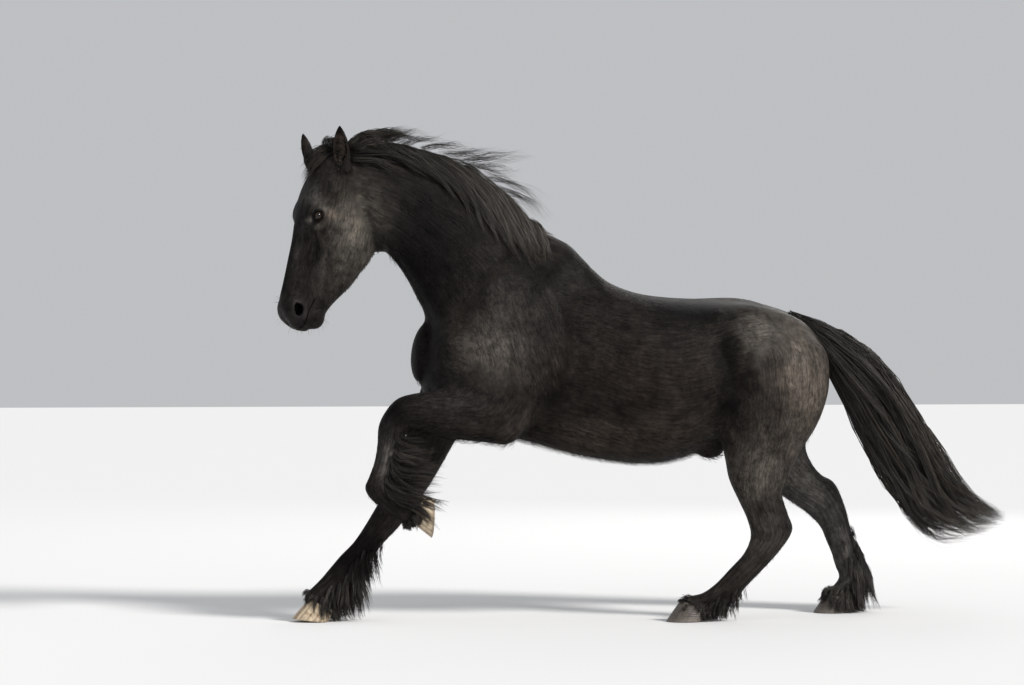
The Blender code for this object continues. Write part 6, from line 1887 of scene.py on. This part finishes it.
# each leg: way that hair hangs at the back, at the sides and front, and by how much it streams
STREAM = {
    "fore_left": dict(back=(.86, 0, -.16), side=(.60, 0, -.55), front=(.25, 0, -.9), long=.205, n=320, per=11),
    "fore_right": dict(back=(.12, 0, -.80), side=(-.18, 0, -.85), front=(-.50, 0, -.60), long=.165, n=300, per=11),
    "hind_left": dict(back=(.05, 0, -.75), side=(-.30, 0, -.72), front=(-.6, 0, -.45), long=.090, n=170, per=9),
    "hind_right": dict(back=(.06, 0, -1.0), side=(-.02, 0, -1.0), front=(-.20, 0, -.95), long=.175, n=310, per=11),
}
rng = np.random.default_rng(37)
for leg, st in STREAM.items():
    sweep = _legs[leg]
    box_ = np.nonzero(np.all((F_mid > sweep.lo) & (F_mid < sweep.hi), axis=1) & (F_mid[:, 2] < (.745 if leg == "fore_left" else .38)))[0]
    d, f, u, v = sweep.place(F_mid[box_])
    M = len(sweep.tab)-1
    want = feathers(F_mid[box_], leg)
    back = np.clip(-u/np.maximum(np.interp(f, np.arange(M+1), sweep.tab[:, 7]), 1e-3), -1, 1)
    low = ease(f, 50, 64) if leg.startswith("fore") else ease(f, 58, 74)
    fringe = ease(f, M-8, M-3)
    if leg == "hind_left":
        low = ease(f, 70, 82)
    if leg == "fore_left":
        low = ease(f, 42, 54)
    behind = ease(back, -.35, .45)
    if leg == "fore_left":
        behind = ease(back, .05, .65)
    front = .0 if leg.startswith("fore") else .05
    dens = low*(front+(1-front)*behind)*(1-.35*fringe)+fringe*.8
    dens = dens*(1-ease(-back, .0, .35)*(1-ease(f, M-6, M-3)))
    dens = dens*F_area[box_]*(d < .02)
    G = st["n"]
    pick = rng.choice(len(box_), G, p=dens/dens.sum(), replace=False)
    fi = box_[pick]
    root, nrm = F_mid[fi], F_nrm[fi]
    bk, fr_, ff = ease(back[pick], .05, .6), ease(-back[pick], .05, .6), f[pick]
    tan = F_lie[fi]
    aim = np.array(st["side"])+0*nrm
    aim = aim*(1-bk)[:, None]+np.outer(bk, st["back"])
    aim = aim*(1-fr_)[:, None]+np.outer(fr_, st["front"])
    if leg == "fore_left":
        # the upper locks blow back and up; at the fetlock and below the hair hangs over the hoof
        up_lock = (1-ease(ff, 56, 66))*bk
        aim = aim+np.outer(up_lock, (.1, 0, .16))
        hang = ease(ff, 70, 82)
        aim = aim*(1-hang)[:, None]+np.outer(hang, (.70, 0, -.45))
        hang = ease(ff, M-6, M-2)
        aim = aim*(1-hang)[:, None]+np.outer(hang, (.25, 0, -.95))
    aim = aim/np.linalg.norm(aim, axis=1)[:, None]+nrm*np.array([.10, .16, .10])+rng.normal(0, .10, (G, 3))
    first = nrm*.26+tan*.90+rng.normal(0, .09, (G, 3))
    near_hoof = ease(ff, M-8, M-1)
    length = st["long"]*rng.uniform(.60, 1.15, G)*(.42+.58*ease(back[pick], -.6, .5))*(1-(.66 if leg == "fore_left" else .42)*near_hoof)*(.55+.45*low[pick])
    if leg == "fore_left":
        length = length*(1-.30*ease(ff, 68, 80))
    K = 11
    depth = rng.uniform(0, 1, G)**.6
    P = grow(leg, root, nrm, first, aim, length, depth, K)
    P[..., 2] = np.maximum(P[..., 2], .004+.006*rng.uniform(0, 1, (G, 1)))
    path, g = clumped(P, st["per"], rng, .0080, pinch=.50, wave=.0035, frizz=.0024, short=.40, turns=1.1, stray=.10)
    path = thinned(path, 7)
    flat_ = path[:, 1:].reshape(-1, 3)
    dd = np.minimum(flesh(flat_), hoof(flat_, leg))
    m = dd < .001
    gr = gradient(lambda q: np.minimum(flesh(q), hoof(q, leg)), flat_[m], .003)
    flat_[m] += gr/np.maximum(np.linalg.norm(gr, axis=1), 1e-6)[:, None]*(.001-dd[m])[:, None]
    path[:, 1:] = flat_.reshape(path[:, 1:].shape)
    path[..., 2] = np.maximum(path[..., 2], .0022)
    S_ = len(path)
    # the far hind's feathers carry more grey: painted light on that leg
    tone = hair_tone(g, G, rng, S_, 7, .20, .16 if leg != "hind_right" else .42, tip=.4)
    half = taper(S_, 7, rng.uniform(.0007, .0013, S_), tip=.10)
    up_ = F_nrm[fi][g]+rng.normal(0, .35, (S_, 3))
    ob = strands("feather_"+leg, path, half, up_, tone, F_uv[fi][g], .6, HAIR)
    PIECES.append((ob, (), "long_hair"))
    said("feather %s %d strands" % (leg, S_))


# hair in the ears and along their edges
G = 90
roots_, aims_ = [], []
for k_, (sd, (b, t, o)) in enumerate(EARS.items()):
    b, t, o = [np.array(q) for q in (b, t, o)]
    L = np.linalg.norm(t-b)
    ax = (t-b)/L
    op = o-ax*(o@ax)
    op /= np.linalg.norm(op)
    sdv = np.cross(ax, op)
    n_ = G//2
    h = rng.uniform(.02, .62, n_)
    w = EAR_HALF*np.interp(h, *zip(*EAR_WIDTHS))
    edge = rng.uniform(-1, 1, n_)
    roots_.append(b+np.outer(h*L, ax)+np.outer(edge*w*.80, sdv)+np.outer(w*.10*(1-edge**2)-.004, op))
    aims_.append(op*1.0+np.outer(-edge*.55, sdv)+ax*.35+rng.normal(0, .22, (n_, 3)))
roots_, aims_ = np.concatenate(roots_), np.concatenate(aims_)
near = nearest_faces(roots_)
root = np.array([SKIN_TREE.find_nearest(Vector(p))[0] for p in roots_])
aims_ /= np.linalg.norm(aims_, axis=1)[:, None]
length = rng.uniform(.014, .030, len(root))
t = np.linspace(0, 1, 6)[None, :, None]
P = root[:, None]+aims_[:, None]*length[:, None, None]*t+np.array([0, 0, .006])*t**2
path, g = clumped(P, 11, rng, .0035, pinch=.5, wave=.001, frizz=.001, short=.4, turns=.8, stray=.1)
S_ = len(path)
tone = hair_tone(g, len(P), rng, S_, 6, .85, .25)
ob = strands("ear_hair", path, taper(S_, 6, rng.uniform(.00035, .0006, S_), tip=.1), aims_[g]+rng.normal(0, .5, (S_, 3)), tone, F_uv[near][g], .7, HAIR)
PIECES.append((ob, (), "coat"))
said("ear hair")


# ---- lashes and whiskers
rng = np.random.default_rng(71)
roots_, ways_, lens_ = [], [], []
for c, a, b, n in EYE_AT.values():
    for up_side, count, reach in ((1, 44, .0105), (-1, 16, .005)):
        t = rng.uniform(-.86, .86, count)
        q = np.clip(1-t**2, 0, 1)
        bb = (SLIT_UP*q**.8+.0014)*np.where(up_side > 0, 1, 0)-(SLIT_LOW*q**.9+.0014)*np.where(up_side < 0, 1, 0)
        aa = t*SLIT_HALF
        cc = np.sqrt(np.maximum((EYE_RADIUS+.0034)**2-aa**2-bb**2, 1e-6))
        roots_.append(c+np.outer(aa, a)+np.outer(bb, b)+np.outer(cc, n))
        ways_.append(n*.9+b*up_side*.55+np.outer(t*.45, a)+rng.normal(0, .10, (count, 3)))
        lens_.append(rng.uniform(.75, 1.2, count)*reach)
G = 110
hh_ = to_head(F_mid)
weight = F_area*(hh_[:, 2] < -.572)*(head(F_mid) < .012)*(np.linalg.norm(hh_*[1, 0, 1]+np.abs(hh_)*[0, 1, 0]-[.042, .048, -.626], axis=1) > .034)
fi_ = rng.choice(nf, G, p=weight/weight.sum(), replace=False)
roots_.append(F_mid[fi_])
ways_.append(F_nrm[fi_]+DOWN*.35+rng.normal(0, .16, (G, 3)))
lens_.append(rng.uniform(.012, .034, G))
roots_, ways_, lens_ = np.concatenate(roots_), np.concatenate(ways_), np.concatenate(lens_)
ways_ /= np.linalg.norm(ways_, axis=1)[:, None]
t = np.linspace(0, 1, 6)[None, :, None]
lash = len(roots_)-G
sag = np.where(np.arange(len(roots_)) < lash, .10, -.22)[:, None, None]
path = roots_[:, None]-ways_[:, None]*.001+ways_[:, None]*(lens_[:, None, None]*t)+np.array([0, 0, 1.0])*sag*lens_[:, None, None]*t**2
S_ = len(path)
tone = np.repeat(np.where(np.arange(S_)[:, None] < lash, [.006, .005, .0045], [.030, .026, .023])[:, None], 6, axis=1)
ob = strands("whiskers", path, taper(S_, 6, np.where(np.arange(S_) < lash, .00022, .00028), root=.9, tip=.12), ways_[:, [2, 0, 1]], tone, root_uv(roots_), .9, HAIR)
PIECES.append((ob, (), "coat"))
said("lashes and whiskers")


# ---- short coat: small flat tufts over the skin, longest under the belly, smallest on the face and feet
rng = np.random.default_rng(51)
A = F_area.copy()
Qh = to_head(F_mid)
on_head = (head(F_mid) < .012) & (Qh[:, 2] < .02)
under = ease(-F_nrm[:, 2], .35, .85)
leg_low = ease(-F_mid[:, 2], -.72, -.45)
LONG = .0175-.006*leg_low+.010*under*(1-leg_low)
LONG = np.where(on_head, .0075-.002*ease(-Qh[:, 2], .35, .55), LONG)
jaw = on_head*ease(-Qh[:, 0], .10, .17)*ease(-Qh[:, 2], .16, .24)*(1-ease(-Qh[:, 2], .50, .56))*ease(-F_nrm@FRONT, .2, .7)
LONG = LONG+jaw*.003
cannon_back = np.zeros(nf)
RISE = np.full(nf, .085)
RISE = RISE+.10*under+.03*jaw
EARM = np.zeros(nf, bool)
for b, t, o in EARS.values():
    EARM |= np.linalg.norm((F_mid-(np.array(b)+np.array(t))/2)/np.array([.06, .06, .10]), axis=1) < 1
LONG = np.where(EARM, .006, LONG)
dens = A*(1-F_bare)*np.where(on_head, 3.4, 1.0)*(1+.5*leg_low)*np.where(EARM, 2.0, 1.0)
lid = np.zeros(nf, bool)
for c, a, b, n in EYE_AT.values():
    lid |= np.linalg.norm(F_mid-c, axis=1) < .0245
dens[lid | (F_bare > .5)] = 0
for nm in HOOVES:
    dens[hoof(F_mid, nm) < .002] = 0
TUFT = coat_material("coat_tufts", True)


def tufts(name, count, K, longer, width, rise, rng, dens, thin=.16, slot="coat"):
    fi = rng.choice(nf, count, p=dens/dens.sum())
    # a random place in the face
    st, tt = F_start[fi], F_total[fi]
    c0, c1, c2 = co[L_vert[st]], co[L_vert[st+1]], co[L_vert[st+2]]
    w = rng.dirichlet((1, 1, 1), count)
    root = c0*w[:, :1]+c1*w[:, 1:2]+c2*w[:, 2:]
    nrm, lie = F_nrm[fi], F_lie[fi]
    side = np.cross(nrm, lie)
    lie = lie+side*rng.normal(0, .16, count)[:, None]
    L = LONG[fi]*longer*rng.uniform(.65, 1.25, count)
    up = RISE[fi]*rise*rng.uniform(.5, 1.6, count)
    s = np.linspace(0, 1, K)[None, :, None]
    arch = np.sin(s*np.pi*.75)*.9 if K > 2 else s
    path = root[:, None]-nrm[:, None]*.0007+lie[:, None]*L[:, None, None]*s+nrm[:, None]*(up*L)[:, None, None]*arch
    W = width*np.clip(L/.0175, .35, 1.15)*rng.uniform(.7, 1.3, count)
    half = taper(count, K, W, root=.8, tip=.15)
    # tufts are painted lighter than the skin under them on average, and more towards the tips: painted light that
    # offsets the shade their own facets catch
    tone = np.repeat(F_tone[fi][:, None], K, axis=1)*rng.uniform(.65, 1.80, count)[:, None, None]
    tone = tone*np.linspace(.92, 1.12, K)[None, :, None]
    ob = strands(name, path, half, nrm, tone, F_uv[fi], thin, TUFT)
    PIECES.append((ob, (), slot))


n_ = 38000
tufts("coat_tufts_near", int(n_*1.2), 2, .95, .00095, 1.0, rng, dens*(F_nrm[:, 1] < .0))
tufts("coat_tufts_far", n_, 2, .95, .00095, 1.0, rng, dens*(F_nrm[:, 1] >= .0))
edge = dens*(.004+under*(~on_head)*1.2+jaw*.8+.9*ease(F_nrm[:, 0], .6, .9)*leg_low*ease(F_mid[:, 2], .30, .45))
tufts("coat_tufts_long", 11000, 3, 1.5, .0009, 1.9, rng, edge)
said("tufts")


# ---- the room: pale floor, soft studio light
def area(name, at, look, size, power, colour=(1, 1, 1)):
    l = bpy.data.lights.new(name, "AREA")
    l.shape, l.size, l.size_y = "RECTANGLE", size[0], size[1]
    l.energy, l.color = power, colour
    o = bpy.data.objects.new(name, l)
    scene.collection.objects.link(o)
    o.location = at
    o.rotation_euler = (Vector(look)-Vector(at)).to_track_quat("-Z", "Y").to_euler()
    return o

me = bpy.data.meshes.new("floor")
R_ = 40
me.from_pydata([(-R_, -R_, 0), (R_, -R_, 0), (R_, R_, 0), (-R_, R_, 0)], [], [(0, 1, 2, 3)])
floor = bpy.data.objects.new("floor", me)
scene.collection.objects.link(floor)
fm = bpy.data.materials.new("floor")
fm.use_nodes = True
fb = fm.node_tree.nodes["Principled BSDF"]
fb.inputs["Base Color"].default_value = (.78, .78, .78, 1)
fb.inputs["Roughness"].default_value = .9
fb.inputs["Specular IOR Level"].default_value = .05
me.materials.append(fm)

world = bpy.data.worlds.new("studio")
scene.world = world
world.use_nodes = True
bg = world.node_tree.nodes["Background"]
bg.inputs["Color"].default_value = (.95, .97, 1.0, 1)
bg.inputs["Strength"].default_value = .54
sun = bpy.data.lights.new("key", "SUN")
sun.energy, sun.angle, sun.color = 3.5, math.radians(13), (1, .98, .95)
key_light = bpy.data.objects.new("key", sun)
scene.collection.objects.link(key_light)
key_light.rotation_euler = Vector((-.66, .70, -.66)).to_track_quat("-Z", "Y").to_euler()
area("fill", (-6.5, -6.0, 3.5), (-.4, 0, 1.0), (5, 4), 60, (.95, .97, 1))
area("rim", (3.5, 6.0, 4.0), (.1, 0, 1.2), (4, 3), 70, (1, .98, .95))
scene.view_settings.view_transform = "Standard"

# ---- everything rides on the one body, and stands for its solids
FLESH = ("head", "neck", "trunk", "ear_left", "ear_right",
         "fore_left_forearm", "fore_left_cannon", "fore_left_pastern", "fore_right_forearm", "fore_right_cannon", "fore_right_pastern",
         "hind_left_thigh", "hind_left_cannon", "hind_left_pastern", "hind_right_thigh", "hind_right_cannon", "hind_right_pastern")
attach(skin, "root")
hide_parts(*FLESH)
for s, ob in eyes.items():
    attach(ob, "root")
    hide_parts("eye_"+s)
for ob, nodes, slot in PIECES:
    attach(ob, "root")
    if nodes:
        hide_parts(*nodes)
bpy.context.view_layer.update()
said("done")
